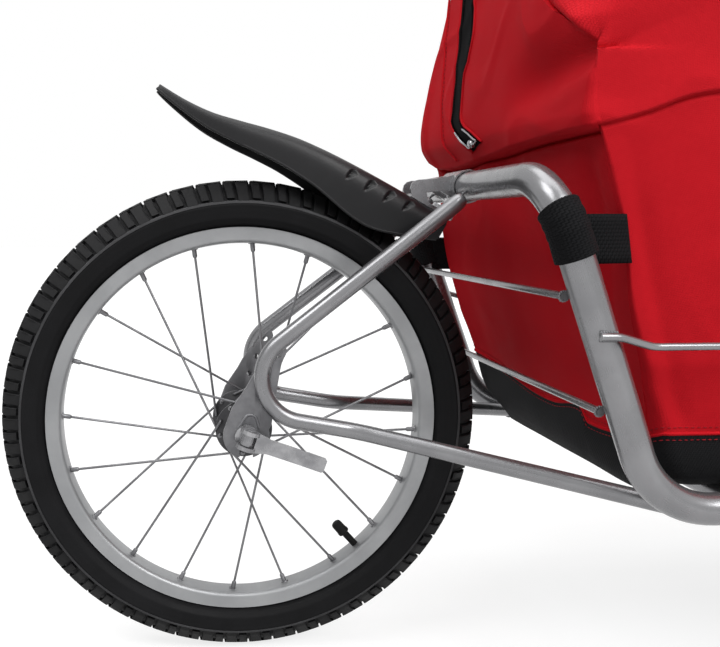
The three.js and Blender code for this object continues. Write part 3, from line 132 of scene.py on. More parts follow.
def ring_points(centre: Vector, first: Vector, second: Vector, radius: float, steps: int) -> list[Vector]:
    """Points of a circle between two square directions."""
    return [centre + first * (radius * math.cos(FULL_TURN * step / steps))
            + second * (radius * math.sin(FULL_TURN * step / steps)) for step in range(steps)]


def bent_path(corners: Sequence[Vector], radii: Sequence[float], step_degrees: float = 5.0) -> list[Vector]:
    """The centre line of a tube bent at each inner corner.

    Args:
        corners: The points that the straight runs aim at.
        radii: One bend radius for each inner corner.
        step_degrees: The largest turn between two points of a bend.

    Returns:
        Points along the line, from the first corner to the last.
    """
    points = [corners[0].copy()]
    for index, radius in enumerate(radii):
        corner = corners[index + 1]
        arriving = (corner - corners[index]).normalized()
        leaving = (corners[index + 2] - corner).normalized()
        turn = arriving.angle(leaving)
        inward = (leaving - arriving * math.cos(turn)).normalized()
        start = corner - arriving * (radius * math.tan(turn / 2.0))
        steps = max(2, math.ceil(turn / math.radians(step_degrees)))
        for step in range(steps + 1):
            angle = turn * step / steps
            offset = arriving * (radius * math.sin(angle)) + inward * (radius * (1.0 - math.cos(angle)))
            points.append(start + offset)
    points.append(corners[-1].copy())
    return points


def smooth_line(points: Sequence[Vector], per_span: int) -> list[Vector]:
    """A smooth curve through points.

    Args:
        points: The points that the curve passes.
        per_span: How many steps to make between two of them.

    Returns:
        Points along the curve.
    """
    line = []
    last = len(points) - 1
    for index in range(last):
        before, start = points[max(index - 1, 0)], points[index]
        end, after = points[index + 1], points[min(index + 2, last)]
        for step in range(per_span):
            t = step / per_span
            line.append(0.5 * (2.0 * start + (end - before) * t
                               + (2.0 * before - 5.0 * start + 4.0 * end - after) * t ** 2
                               + (3.0 * start - before - 3.0 * end + after) * t ** 3))
    line.append(points[last].copy())
    return line


def read_smooth(table: Sequence[tuple[float, float]], place: float) -> float:
    """The value of a table of places and values at one place, on a curve through its rows.

    Args:
        table: Rows of place and value, in order of place.
        place: Where to read the table.

    Returns:
        The value there.
    """
    place = min(max(place, table[0][0]), table[-1][0])
    last = len(table) - 1
    index = next(row for row in range(last) if place <= table[row + 1][0])

    def slope(row: int) -> float:
        """The curve's slope at a row."""
        (low, low_value), (high, high_value) = table[max(row - 1, 0)], table[min(row + 1, last)]
        return (high_value - low_value) / (high - low)

    (low, low_value), (high, high_value) = table[index], table[index + 1]
    span = high - low
    t = (place - low) / span
    return ((2.0 * t ** 3 - 3.0 * t ** 2 + 1.0) * low_value + (t ** 3 - 2.0 * t ** 2 + t) * slope(index) * span
            + (3.0 * t ** 2 - 2.0 * t ** 3) * high_value + (t ** 3 - t ** 2) * slope(index + 1) * span)


def square_seed(way: Vector) -> Vector:
    """An upright direction, or one across where the given way is itself nearly upright."""
    return UP if abs(way.z) < STEEP else ACROSS


def frames_along(path: Sequence[Vector]) -> list[tuple[Vector, Vector, Vector]]:
    """A direction and two square directions at each point of a path, without twist.

    Args:
        path: The points of the path.

    Returns:
        Tangent, first normal and second normal at each point.
    """
    found = []
    normal = None
    last = len(path) - 1
    for index, _ in enumerate(path):
        tangent = (path[min(index + 1, last)] - path[max(index - 1, 0)]).normalized()
        if normal is None:
            normal = tangent.cross(square_seed(tangent)).normalized()
        normal = (normal - tangent * normal.dot(tangent)).normalized()
        found.append((tangent, normal, tangent.cross(normal)))
    return found


class Mould:
    """Collects the faces of one piece, with each face corner's place on the surface."""

    point_radius = 0.01

    def __init__(self) -> None:
        """Starts with no faces."""
        self.points: list[Vector] = []
        self.faces: list[tuple[int, ...]] = []
        self.flows: list[tuple[float, float]] = []
        self.edges: list[tuple[int, int]] = []

    def wire(self, path: Sequence[Vector]) -> None:
        """Adds a bare line, for copies to be set along.

        Args:
            path: The line's points.
        """
        start = len(self.points)
        self.points.extend(path)
        self.edges.extend((index, index + 1) for index in range(start, start + len(path) - 1))

    def grid(self, rows: Sequence[Sequence[Vector]], around: bool = False, closed: bool = False,
             turned: bool = False) -> None:
        """Adds a sheet of faces between rows of points.

        Args:
            rows: Rows with the same number of points.
            around: Whether each row closes on itself.
            closed: Whether the last row joins the first.
            turned: Whether the faces point the other way.
        """
        start = len(self.points)
        width = len(rows[0])
        for row in rows:
            self.points.extend(row)
        middle = rows[len(rows) // 2]
        across = [0.0]
        for index in range(width):
            across.append(across[-1] + (middle[(index + 1) % width] - middle[index]).length)
        down = [0.0]
        for index in range(len(rows)):
            following = rows[(index + 1) % len(rows)]
            down.append(down[-1] + (following[0] - rows[index][0]).length)
        for row in range(len(rows) if closed else len(rows) - 1):
            next_row = (row + 1) % len(rows)
            for column in range(width if around else width - 1):
                next_column = (column + 1) % width
                face = [start + row * width + column, start + row * width + next_column,
                        start + next_row * width + next_column, start + next_row * width + column]
                flow = [(across[column], down[row]), (across[column + 1], down[row]),
                        (across[column + 1], down[row + 1]), (across[column], down[row + 1])]
                if turned:
                    face.reverse()
                    flow.reverse()
                self.faces.append(tuple(face))
                self.flows.extend(flow)

    def fan(self, ring: Sequence[Vector], outward: Vector) -> None:
        """Closes a ring of points with one flat face.

        Args:
            ring: The ring's points.
            outward: The way that the face points.
        """
        start = len(self.points)
        self.points.extend(ring)
        normal = sum((a.cross(b) for a, b in zip(ring, [*ring[1:], ring[0]])), Vector())
        order = list(range(start, start + len(ring)))
        if normal.dot(outward) < 0.0:
            order.reverse()
        self.faces.append(tuple(order))
        self.flows.extend((self.points[index].x, self.points[index].z) for index in order)

    def tube(self, path: Sequence[Vector], radius: float | Sequence[float], sides: int = 32) -> None:
        """Adds a round tube along a path, with closed ends.

        Args:
            path: The centre line.
            radius: One radius, or one for each point of the path.
            sides: The number of sides.
        """
        radii = radius if isinstance(radius, (list, tuple)) else [radius] * len(path)
        rows = [ring_points(point, first, second, size, sides)
                for (_, first, second), point, size in zip(frames_along(path), path, radii)]
        self.grid(rows, around=True)
        self.fan(rows[0], path[0] - path[1])
        self.fan(rows[-1], path[-1] - path[-2])

    def turning(self, profile: Sequence[tuple[float, float]], centre: Vector, axis: Vector, segments: int,
                closed: bool = False) -> None:
        """Adds a turned form.

        Args:
            profile: Pairs of radius and place along the axis.
            centre: A point on the axis, where the place along it is zero.
            axis: The axis, of unit length.
            segments: The number of segments round it.
            closed: Whether the profile closes on itself, as a ring's does.
        """
        first = axis.cross(square_seed(axis)).normalized()
        second = axis.cross(first)
        rows = [ring_points(centre + axis * place, first, second, radius, segments) for radius, place in profile]
        self.grid(rows, around=True, closed=closed)
        if not closed:
            if profile[0][0] > self.point_radius:
                self.fan(rows[0], axis * (profile[0][1] - profile[1][1]))
            if profile[-1][0] > self.point_radius:
                self.fan(rows[-1], axis * (profile[-1][1] - profile[-2][1]))

    def plate(self, outlines: Sequence[Sequence[Vector]], thickness: Vector, bevel: float) -> None:
        """Adds a flat plate with a rounded edge and any holes.

        Args:
            outlines: Flat closed outlines on the plate's first face: the outside and then the holes.
            thickness: The way from the first face to the second, as long as the plate is thick.
            bevel: How far its edges are rounded.
        """
        origin = outlines[0][0]
        normal = thickness.normalized()
        first = (outlines[0][1] - origin).normalized()
        second = normal.cross(first)
        curve = bpy.data.curves.new("plate", "CURVE")
        curve.dimensions = "2D"
        curve.fill_mode = "BOTH"
        curve.extrude = max(thickness.length / 2.0 - bevel, 0.01)
        curve.bevel_depth = bevel
        curve.bevel_resolution = 1
        curve.offset = -bevel
        for outline in outlines:
            spline = curve.splines.new("POLY")
            spline.points.add(len(outline) - 1)
            spline.use_cyclic_u = True
            for target, point in zip(spline.points, outline):
                offset = point - origin
                target.co = (offset.dot(first), offset.dot(second), 0.0, 1.0)
        holder = bpy.data.objects.new("plate", curve)
        flat = holder.to_mesh()
        start = len(self.points)
        middle = origin + thickness / 2.0
        for vertex in flat.vertices:
            self.points.append(middle + first * vertex.co.x + second * vertex.co.y + normal * vertex.co.z)
        for polygon in flat.polygons:
            face = tuple(start + index for index in polygon.vertices)
            self.faces.append(face)
            self.flows.extend((flat.vertices[index].co.x, flat.vertices[index].co.y) for index in polygon.vertices)
        holder.to_mesh_clear()
        bpy.data.objects.remove(holder)
        bpy.data.curves.remove(curve)

    def piece(self, name: str, merge: float = 0.02, sharp_degrees: float = 40.0) -> bpy.types.Object:
        """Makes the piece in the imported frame, in metres.

        Args:
            name: The piece's name.
            merge: How near two points are merged, in millimetres.
            sharp_degrees: Edges that turn by more stay sharp.

        Returns:
            The new object, linked to the scene.
        """
        shift = Vector((inward_shift(), 0.0, 0.0))
        mesh = bpy.data.meshes.new(name)
        mesh.from_pydata([(point + shift) * MM for point in self.points], self.edges, self.faces)
        layer = mesh.uv_layers.new(name="flow")
        for loop, flow in zip(layer.data, self.flows):
            loop.uv = (flow[0] * MM, flow[1] * MM)
        work = bmesh.new()
        work.from_mesh(mesh)
        bmesh.ops.remove_doubles(work, verts=work.verts, dist=merge * MM)
        bmesh.ops.dissolve_degenerate(work, edges=work.edges, dist=merge * MM / 10.0)
        bmesh.ops.recalc_face_normals(work, faces=work.faces)
        work.to_mesh(mesh)
        work.free()
        mesh.shade_smooth()
        mesh.set_sharp_from_angle(angle=math.radians(sharp_degrees))
        item = bpy.data.objects.new(name, mesh)
        bpy.context.scene.collection.objects.link(item)
        return item


def finish_piece(item: bpy.types.Object, body: Body, material: bpy.types.Material,
                 stands_for: Iterable[str] = ()) -> None:
    """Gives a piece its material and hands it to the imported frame.

    Args:
        item: The piece.
        body: The body that it moves with.
        material: Its material.
        stands_for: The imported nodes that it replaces.
    """
    item.data.materials.clear()
    item.data.materials.append(material)
    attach(item, body.value)
    nodes = list(stands_for)
    if nodes:
        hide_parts(*nodes)
    LOG.info("%s rides on %s", item.name, body.value)


# Shader graphs


@dataclass
class Graph:
    """Writes the nodes of one tree."""

    tree: bpy.types.NodeTree

    def add(self, kind: str, output: int | str = 0, props: dict | None = None,
            **inputs: object) -> bpy.types.NodeSocket:
        """Adds a node and sets or links its inputs.

        Args:
            kind: The node's type.
            output: The output to return, by index or name.
            props: The node's own settings.
            **inputs: Its inputs by name, with underscores for spaces, or by i and an index.

        Returns:
            The chosen output socket.
        """
        node = self.tree.nodes.new(kind)
        for key, value in (props or {}).items():
            setattr(node, key, value)
        for key, value in inputs.items():
            indexed = key[0] == "i" and key[1:].isdigit()
            socket = node.inputs[int(key[1:])] if indexed else node.inputs[key.replace("_", " ")]
            if isinstance(value, bpy.types.NodeSocket):
                self.tree.links.new(value, socket)
            else:
                socket.default_value = value
        return node.outputs[output]

    def math(self, operation: str, first: Feed, second: Feed = 0.0) -> bpy.types.NodeSocket:
        """Adds a sum of two values or sockets."""
        return self.add("ShaderNodeMath", props={"operation": operation}, i0=first, i1=second)

    def ramp(self, factor: Feed, low: Feed = 0.0, high: Feed = 1.0, to_low: float = 0.0,
             to_high: float = 1.0) -> bpy.types.NodeSocket:
        """Maps a range of a value, from low to high, smoothly to another."""
        return self.add("ShaderNodeMapRange", props={"interpolation_type": "SMOOTHSTEP"}, Value=factor,
                        From_Min=low, From_Max=high, To_Min=to_low, To_Max=to_high)

    def blend(self, factor: Feed, first: object, second: object) -> bpy.types.NodeSocket:
        """Mixes two colours or sockets by the share of the second."""
        return self.add("ShaderNodeMix", output=2, props={"data_type": "RGBA"}, i0=factor, i6=first, i7=second)

    def group(self, group: bpy.types.NodeTree, output: str, **inputs: object) -> bpy.types.NodeSocket:
        """Places a node group and gives one of its outputs."""
        return self.add("ShaderNodeGroup", output=output, props={"node_tree": group}, **inputs)


def new_group(name: str, kind: str, inputs: Sequence[tuple[str, str, object]],
              outputs: Sequence[tuple[str, str]]) -> tuple[bpy.types.NodeTree, dict, bpy.types.Node]:
    """Starts a node group with named inputs and outputs.

    Args:
        name: The group's name.
        kind: ShaderNodeTree or GeometryNodeTree.
        inputs: Rows of name, socket type and default value.
        outputs: Rows of name and socket type.

    Returns:
        The tree, its input sockets by name, and its output node.
    """
    tree = bpy.data.node_groups.new(name, kind)
    for label, socket, value in inputs:
        made = tree.interface.new_socket(name=label, in_out="INPUT", socket_type=socket)
        if value is not None:
            made.default_value = value
    for label, socket in outputs:
        tree.interface.new_socket(name=label, in_out="OUTPUT", socket_type=socket)
    start = tree.nodes.new("NodeGroupInput")
    end = tree.nodes.new("NodeGroupOutput")
    return tree, {socket.name: socket for socket in start.outputs if socket.name}, end


def smudge_group() -> bpy.types.NodeTree:
    """Soft uneven patches, used for handling marks, dust and uneven dye.

    Returns:
        The group, with the output Mask.
    """
    tree, given, end = new_group("Smudges", "ShaderNodeTree", [
        ("Vector", "NodeSocketVector", None), ("Scale", "NodeSocketFloat", 20.0),
        ("Contrast", "NodeSocketFloat", 0.2)], [("Mask", "NodeSocketFloat")])
    graph = Graph(tree)
    cloud = graph.add("ShaderNodeTexNoise", Vector=given["Vector"], Scale=given["Scale"], Detail=5.0, Roughness=0.6)
    low = graph.math("SUBTRACT", 0.5, given["Contrast"])
    high = graph.math("ADD", 0.5, given["Contrast"])
    tree.links.new(graph.ramp(cloud, low, high), end.inputs["Mask"])
    return tree


def grain_group() -> bpy.types.NodeTree:
    """A fine moulded or cast grain, as a height.

    Returns:
        The group, with the output Height.
    """
    tree, given, end = new_group("Grain", "ShaderNodeTree", [
        ("Vector", "NodeSocketVector", None), ("Scale", "NodeSocketFloat", 900.0)], [("Height", "NodeSocketFloat")])
    graph = Graph(tree)
    fine = graph.add("ShaderNodeTexNoise", Vector=given["Vector"], Scale=given["Scale"], Detail=3.0, Roughness=0.65)
    cells = graph.add("ShaderNodeTexVoronoi", Vector=given["Vector"], Scale=given["Scale"])
    height = graph.math("ADD", fine, graph.math("MULTIPLY", cells, 0.4))
    tree.links.new(height, end.inputs["Height"])
    return tree


def weave_group() -> bpy.types.NodeTree:
    """Threads that cross over and under each other, as a height.

    Returns:
        The group, with the output Height.
    """
    tree, given, end = new_group("Weave", "ShaderNodeTree", [
        ("Vector", "NodeSocketVector", None), ("Threads", "NodeSocketFloat", 1000.0),
        ("Stretch", "NodeSocketFloat", 1.0)], [("Height", "NodeSocketFloat")])
    graph = Graph(tree)
    parts = tree.nodes.new("ShaderNodeSeparateXYZ")
    tree.links.new(given["Vector"], parts.inputs[0])
    across = graph.math("MULTIPLY", parts.outputs[0], given["Threads"])
    along = graph.math("MULTIPLY", graph.math("MULTIPLY", parts.outputs[1], given["Threads"]), given["Stretch"])
    warp = graph.math("ABSOLUTE", graph.math("SINE", graph.math("MULTIPLY", across, math.pi)))
    weft = graph.math("ABSOLUTE", graph.math("SINE", graph.math("MULTIPLY", along, math.pi)))
    cell = graph.math("ADD", graph.math("FLOOR", across), graph.math("FLOOR", along))
    upper = graph.math("MODULO", graph.math("ABSOLUTE", cell), 2.0)
    height = graph.math("ADD", graph.math("MULTIPLY", warp, upper),
                        graph.math("MULTIPLY", weft, graph.math("SUBTRACT", 1.0, upper)))
    tree.links.new(height, end.inputs["Height"])
    return tree


def brush_group() -> bpy.types.NodeTree:
    """Fine lines along one way of the surface, left by drawing, brushing or machining.

    Returns:
        The group, with the output Height.
    """
    tree, given, end = new_group("Brush lines", "ShaderNodeTree", [
        ("Vector", "NodeSocketVector", None), ("Fineness", "NodeSocketVector", (4000.0, 20.0, 1.0))],
        [("Height", "NodeSocketFloat")])
    graph = Graph(tree)
    stretched = graph.add("ShaderNodeVectorMath", props={"operation": "MULTIPLY"}, i0=given["Vector"],
                          i1=given["Fineness"])
    lines = graph.add("ShaderNodeTexNoise", Vector=stretched, Scale=1.0, Detail=2.0)
    tree.links.new(lines, end.inputs["Height"])
    return tree


@dataclass
class Effects:
    """The shader groups that several materials share."""

    smudges: bpy.types.NodeTree = field(default_factory=smudge_group)
    grain: bpy.types.NodeTree = field(default_factory=grain_group)
    weave: bpy.types.NodeTree = field(default_factory=weave_group)
    brush: bpy.types.NodeTree = field(default_factory=brush_group)


class Surface(Graph):
    """A material's graph, with its shader, object coordinates and the piece's own surface coordinates."""

    def __init__(self, name: str) -> None:
        """Starts a node material.

        Args:
            name: The material's name.
        """
        self.material = bpy.data.materials.new(name)
        self.material.use_nodes = True
        super().__init__(self.material.node_tree)
        self.shader = next(node for node in self.tree.nodes if node.type == "BSDF_PRINCIPLED")
        self.place = self.add("ShaderNodeTexCoord", output="Object")
        self.flow = self.add("ShaderNodeUVMap", props={"uv_map": "flow"})

    def finish(self, colour: bpy.types.NodeSocket, roughness: bpy.types.NodeSocket, height: bpy.types.NodeSocket,
               depth: float) -> bpy.types.Material:
        """Links what the shader shows.

        Args:
            colour: The colour's socket.
            roughness: The roughness's socket.
            height: The relief's socket.
            depth: How deep the relief is, in metres.

        Returns:
            The material.
        """
        normal = self.add("ShaderNodeBump", Height=height, Distance=depth)
        for name, socket in (("Base Color", colour), ("Roughness", roughness), ("Normal", normal)):
            self.tree.links.new(socket, self.shader.inputs[name])
        return self.material


@dataclass(frozen=True)
class MetalFinish:
    """Bare or plated metal with drawn lines and handling marks."""

    name: str
    bright: Triple
    dull: Triple
    smooth: float
    rough: float
    fineness: Triple = (4000.0, 30.0, 1.0)
    relief: float = 0.00002
    patches: float = 30.0
    metallic: float = 0.7

    def build(self, effects: Effects) -> bpy.types.Material:
        """Makes the material.

        Args:
            effects: The shared shader groups.

        Returns:
            The material.
        """
        graph = Surface(self.name)
        mask = graph.group(effects.smudges, "Mask", Vector=graph.place, Scale=self.patches, Contrast=0.25)
        lines = graph.group(effects.brush, "Height", Vector=graph.flow, Fineness=self.fineness)
        grain = graph.group(effects.grain, "Height", Vector=graph.place, Scale=700.0)
        uneven = graph.math("ADD", graph.math("MULTIPLY", mask, 0.6), graph.math("MULTIPLY", lines, 0.5))
        graph.shader.inputs["Metallic"].default_value = self.metallic
        return graph.finish(graph.blend(mask, (*self.bright, 1.0), (*self.dull, 1.0)),
                            graph.ramp(uneven, 0.1, 0.9, self.smooth, self.rough),
                            graph.math("ADD", lines, graph.math("MULTIPLY", grain, 0.25)), self.relief)


@dataclass(frozen=True)
class MouldedFinish:
    """Rubber or plastic with a fine moulded grain and a little dust."""

    name: str
    base: Triple
    dusty: Triple
    smooth: float
    rough: float
    grain_scale: float
    relief: float
    dust_scale: float = 25.0
    shine: float = 0.1

    def build(self, effects: Effects) -> bpy.types.Material:
        """Makes the material.

        Args:
            effects: The shared shader groups.

        Returns:
            The material.
        """
        graph = Surface(self.name)
        mask = graph.group(effects.smudges, "Mask", Vector=graph.place, Scale=self.dust_scale, Contrast=0.22)
        grain = graph.group(effects.grain, "Height", Vector=graph.place, Scale=self.grain_scale)
        graph.shader.inputs["Specular IOR Level"].default_value = self.shine
        return graph.finish(graph.blend(mask, (*self.base, 1.0), (*self.dusty, 1.0)),
                            graph.ramp(mask, to_low=self.smooth, to_high=self.rough), grain, self.relief)


@dataclass(frozen=True)
class ClothFinish:
    """Woven cloth or webbing, with threads, uneven dye and painted shade between the threads."""

    name: str
    base: Triple
    light: Triple
    threads: float
    stretch: float
    relief: float
    rough: float = 0.75
    shine: float = 0.15
    # Painted shade between the threads: how far the weave's low parts are darkened.
    thread_shade: float = 0.12

    def build(self, effects: Effects) -> bpy.types.Material:
        """Makes the material.

        Args:
            effects: The shared shader groups.

        Returns:
            The material.
        """
        graph = Surface(self.name)
        mask = graph.group(effects.smudges, "Mask", Vector=graph.place, Scale=9.0, Contrast=0.3)
        fine = graph.group(effects.smudges, "Mask", Vector=graph.place, Scale=260.0, Contrast=0.35)
        weave = graph.group(effects.weave, "Height", Vector=graph.flow, Threads=self.threads, Stretch=self.stretch)
        shade = graph.math("ADD", graph.math("MULTIPLY", mask, 0.6), graph.math("MULTIPLY", fine, 0.25))
        dyed = graph.blend(shade, (*self.base, 1.0), (*self.light, 1.0))
        # Painted shade: the low parts of the weave, between the threads, are darkened towards under half the base
        # colour.
        dark = tuple(channel * 0.45 for channel in self.base)
        threads = graph.math("MULTIPLY", graph.math("SUBTRACT", 1.0, weave), self.thread_shade)
        graph.shader.inputs["Specular IOR Level"].default_value = self.shine
        return graph.finish(graph.blend(threads, dyed, (*dark, 1.0)),
                            graph.ramp(mask, to_low=self.rough - 0.08, to_high=self.rough + 0.06),
                            graph.math("ADD", weave, graph.math("MULTIPLY", fine, 0.2)), self.relief)


@dataclass
class Finishes:
    """Every material of the trailer."""

    effects: Effects
    tube: bpy.types.Material = field(init=False)
    plate: bpy.types.Material = field(init=False)
    bright: bpy.types.Material = field(init=False)
    spoke: bpy.types.Material = field(init=False)
    alloy: bpy.types.Material = field(init=False)
    hub: bpy.types.Material = field(init=False)
    tyre: bpy.types.Material = field(init=False)
    tread: bpy.types.Material = field(init=False)
    highlight_rubber: bpy.types.Material = field(init=False)
    rubber: bpy.types.Material = field(init=False)
    plastic: bpy.types.Material = field(init=False)
    webbing: bpy.types.Material = field(init=False)
    red_cloth: bpy.types.Material = field(init=False)
    dark_cloth: bpy.types.Material = field(init=False)
    tape: bpy.types.Material = field(init=False)
    thread: bpy.types.Material = field(init=False)

    def __post_init__(self) -> None:
        """Builds the materials."""
        metals = {
            "tube": MetalFinish("Drawn tube steel", (0.26, 0.26, 0.268), (0.21, 0.21, 0.218), 0.2, 0.31),
            "plate": MetalFinish("Pressed plate steel", (0.2, 0.2, 0.208), (0.14, 0.14, 0.148), 0.36, 0.55,
                                 (300.0, 300.0, 1.0), 0.00004, 60.0),
            "bright": MetalFinish("Bright plating", (0.36, 0.36, 0.37), (0.22, 0.22, 0.23), 0.14, 0.32,
                                  (2500.0, 40.0, 1.0), 0.00001, 80.0),
            "spoke": MetalFinish("Spoke steel", (0.2, 0.2, 0.208), (0.13, 0.13, 0.138), 0.25, 0.4,
                                 (2500.0, 40.0, 1.0), 0.00001, 50.0),
            "hub": MetalFinish("Hub alloy", (0.06, 0.06, 0.063), (0.035, 0.035, 0.038), 0.3, 0.5,
                               (2500.0, 40.0, 1.0), 0.00002, 60.0),
            "alloy": MetalFinish("Satin rim alloy", (0.34, 0.345, 0.352), (0.27, 0.275, 0.282), 0.34, 0.5,
                                 (3000.0, 6.0, 1.0), 0.00002, 14.0),
        }
        moulded = {
            # Painted light and shade: the tread blocks' rubber is about twice as light as the casing's, so the block
            # tops read lit and the casing between them reads shaded.
            "tyre": MouldedFinish("Tyre rubber", (0.006, 0.006, 0.0065), (0.012, 0.012, 0.013), 0.5, 0.68, 500.0,
                                  0.00008),
            "tread": MouldedFinish("Tread rubber", (0.013, 0.013, 0.0135), (0.022, 0.022, 0.023), 0.5, 0.72, 600.0,
                                   0.0001),
            # Painted highlight: a rubber far lighter than the tyre's, for the thin band where light catches the
            # sidewall's ridge.
            "highlight_rubber": MouldedFinish("Painted highlight rubber", (0.075, 0.075, 0.078), (0.05, 0.05, 0.052), 0.5, 0.6, 500.0,
                                  0.00004),
            "rubber": MouldedFinish("Soft rubber", (0.01, 0.01, 0.01), (0.016, 0.016, 0.016), 0.45, 0.6, 900.0,
                                    0.00004),
            "plastic": MouldedFinish("Mudguard plastic", (0.007, 0.007, 0.008), (0.012, 0.012, 0.013), 0.32, 0.46,
                                     1100.0, 0.00004, 12.0, 0.25),
        }
        cloths = {
            "webbing": ClothFinish("Black webbing", (0.009, 0.009, 0.01), (0.016, 0.016, 0.017), 420.0, 1.6,
                                   0.0004, 0.8, 0.06, 0.5),
            "red_cloth": ClothFinish("Red bag cloth", (0.58, 0.009, 0.017), (0.68, 0.015, 0.024), 900.0, 1.0,
                                     0.00012, 0.7, 0.05, 0.25),
            "dark_cloth": ClothFinish("Black base cloth", (0.011, 0.011, 0.012), (0.018, 0.018, 0.019), 800.0, 1.0,
                                      0.0002, 0.75, 0.06, 0.35),
            "tape": ClothFinish("Zip tape", (0.003, 0.003, 0.0035), (0.006, 0.006, 0.0065), 1100.0, 2.0, 0.0002, 0.8,
                                0.03, 0.4),
            "thread": ClothFinish("Red thread", (0.36, 0.012, 0.02), (0.44, 0.02, 0.028), 1500.0, 1.0, 0.0001, 0.7,
                                  0.15, 0.3),
        }
        for label, finish in {**metals, **moulded, **cloths}.items():
            setattr(self, label, finish.build(self.effects))


def dress_node(node: bpy.types.Object, material: bpy.types.Material, bevel: float) -> None:
    """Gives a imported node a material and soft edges.

    Args:
        node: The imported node's object.
        material: Its material.
        bevel: How far its edges are rounded, in millimetres.
    """
    for place in node.material_slots:
        place.material = material
    weld = node.modifiers.new("Weld", "WELD")
    weld.merge_threshold = 0.00001
    edge = node.modifiers.new("Edge", "BEVEL")
    edge.width = bevel * MM
    edge.segments = 2
    edge.limit_method = "ANGLE"
    edge.angle_limit = math.radians(35.0)
    edge.harden_normals = False


# Trees of nodes that set copies


def end_copies(graph: Graph, copies: bpy.types.NodeSocket, material: bpy.types.NodeSocket,
               end: bpy.types.Node) -> None:
    """Makes copies real, dresses them and links them to the tree's output.

    Args:
        graph: The tree's graph.
        copies: The copies' socket.
        material: The material's socket.
        end: The tree's output node.
    """
    real = graph.add("GeometryNodeRealizeInstances", Geometry=copies)
    dressed = graph.add("GeometryNodeSetMaterial", Geometry=real, Material=material)
    graph.tree.links.new(dressed, end.inputs["Geometry"])


def copies_round_axle() -> bpy.types.NodeTree:
    """Makes the tree of nodes that sets copies of a piece round the wheel's axle.

    Returns:
        The tree, with the inputs Count, Axle and Material.
    """
    tree, given, end = new_group("Copies round the axle", "GeometryNodeTree", [
        ("Geometry", "NodeSocketGeometry", None), ("Count", "NodeSocketInt", 20),
        ("Axle", "NodeSocketVector", (0.0, 0.0, 0.0)), ("Material", "NodeSocketMaterial", None)],
        [("Geometry", "NodeSocketGeometry")])
    graph = Graph(tree)
    line = graph.add("GeometryNodeMeshLine", Count=given["Count"], Offset=(0.0, 0.0, 0.0))
    placed = graph.add("GeometryNodeSetPosition", Geometry=line, Position=given["Axle"])
    index = graph.add("GeometryNodeInputIndex")
    step = graph.math("DIVIDE", FULL_TURN, given["Count"])
    angle = graph.math("MULTIPLY", index, step)
    turn = graph.add("ShaderNodeCombineXYZ", Y=graph.math("MULTIPLY", angle, -1.0))
    centred = graph.add("GeometryNodeTransform", Geometry=given["Geometry"],
                        Translation=graph.add("ShaderNodeVectorMath", props={"operation": "SCALE"},
                                              i0=given["Axle"], Scale=-1.0))
    copies = graph.add("GeometryNodeInstanceOnPoints", Points=placed, Instance=centred, Rotation=turn)
    end_copies(graph, copies, given["Material"], end)
    return tree


def copies_along_line() -> bpy.types.NodeTree:
    """Makes the tree of nodes that sets small rounded copies along a line: stitches, zip teeth and weld beads.

    Returns:
        The tree, with the inputs Spacing, Size, Seed and Material.
    """
    tree, given, end = new_group("Copies along a line", "GeometryNodeTree", [
        ("Geometry", "NodeSocketGeometry", None), ("Spacing", "NodeSocketFloat", 0.004),
        ("Size", "NodeSocketVector", (0.001, 0.001, 0.003)), ("Seed", "NodeSocketInt", 1),
        ("Material", "NodeSocketMaterial", None)], [("Geometry", "NodeSocketGeometry")])
    graph = Graph(tree)
    curve = graph.add("GeometryNodeMeshToCurve", i0=given["Geometry"])
    places = graph.add("GeometryNodeCurveToPoints", props={"mode": "LENGTH"}, Curve=curve, Length=given["Spacing"])
    ball = graph.add("GeometryNodeMeshIcoSphere", Radius=0.5, Subdivisions=2)
    shaped = graph.add("GeometryNodeTransform", Geometry=graph.add("GeometryNodeSetShadeSmooth", Geometry=ball),
                       Scale=given["Size"])
    scale = graph.add("FunctionNodeRandomValue", output=1, i2=0.88, i3=1.12, Seed=given["Seed"])
    copies = graph.add("GeometryNodeInstanceOnPoints", Points=places, Instance=shaped,
                       Rotation=places.node.outputs["Rotation"], Scale=scale)
    end_copies(graph, copies, given["Material"], end)
    return tree


def apply_nodes(item: bpy.types.Object, tree: bpy.types.NodeTree, **values: object) -> None:
    """Runs a tree on a piece and keeps the result as its mesh.

    Args:
        item: The piece that the tree starts from.
        tree: The tree.
        **values: Its inputs by name, with underscores for spaces.
    """
    modifier = item.modifiers.new("Pattern", "NODES")
    modifier.node_group = tree
    for socket in tree.interface.items_tree:
        if socket.item_type == "SOCKET" and socket.in_out == "INPUT":
            key = socket.name.replace(" ", "_")
            if key in values:
                modifier[socket.identifier] = values[key]
    bpy.context.view_layer.update()
    graph = bpy.context.evaluated_depsgraph_get()
    made = bpy.data.meshes.new_from_object(item.evaluated_get(graph))
    item.modifiers.remove(modifier)
    item.data = made
    made.name = item.name


@dataclass(frozen=True)
class Beading:
    """Small copies set along lines: stitches, zip teeth or weld beads."""

    tree: bpy.types.NodeTree
    spacing: float
    size: Triple
    seed: int
    material: bpy.types.Material

    def piece(self, name: str, lines: Iterable[Sequence[Vector]], slot: Slot) -> None:
        """Makes a piece of copies along lines, which rides on the frame.

        Args:
            name: The piece's name.
            lines: The lines, in millimetres.
            slot: The record's slot; not used.
        """
        mould = Mould()
        for line in lines:
            mould.wire(line)
        item = mould.piece(name, merge=0.0001)
        apply_nodes(item, self.tree, Spacing=self.spacing * MM, Size=tuple(side * MM for side in self.size),
                    Seed=self.seed, Material=self.material)
        finish_piece(item, Body.FRAME, self.material)


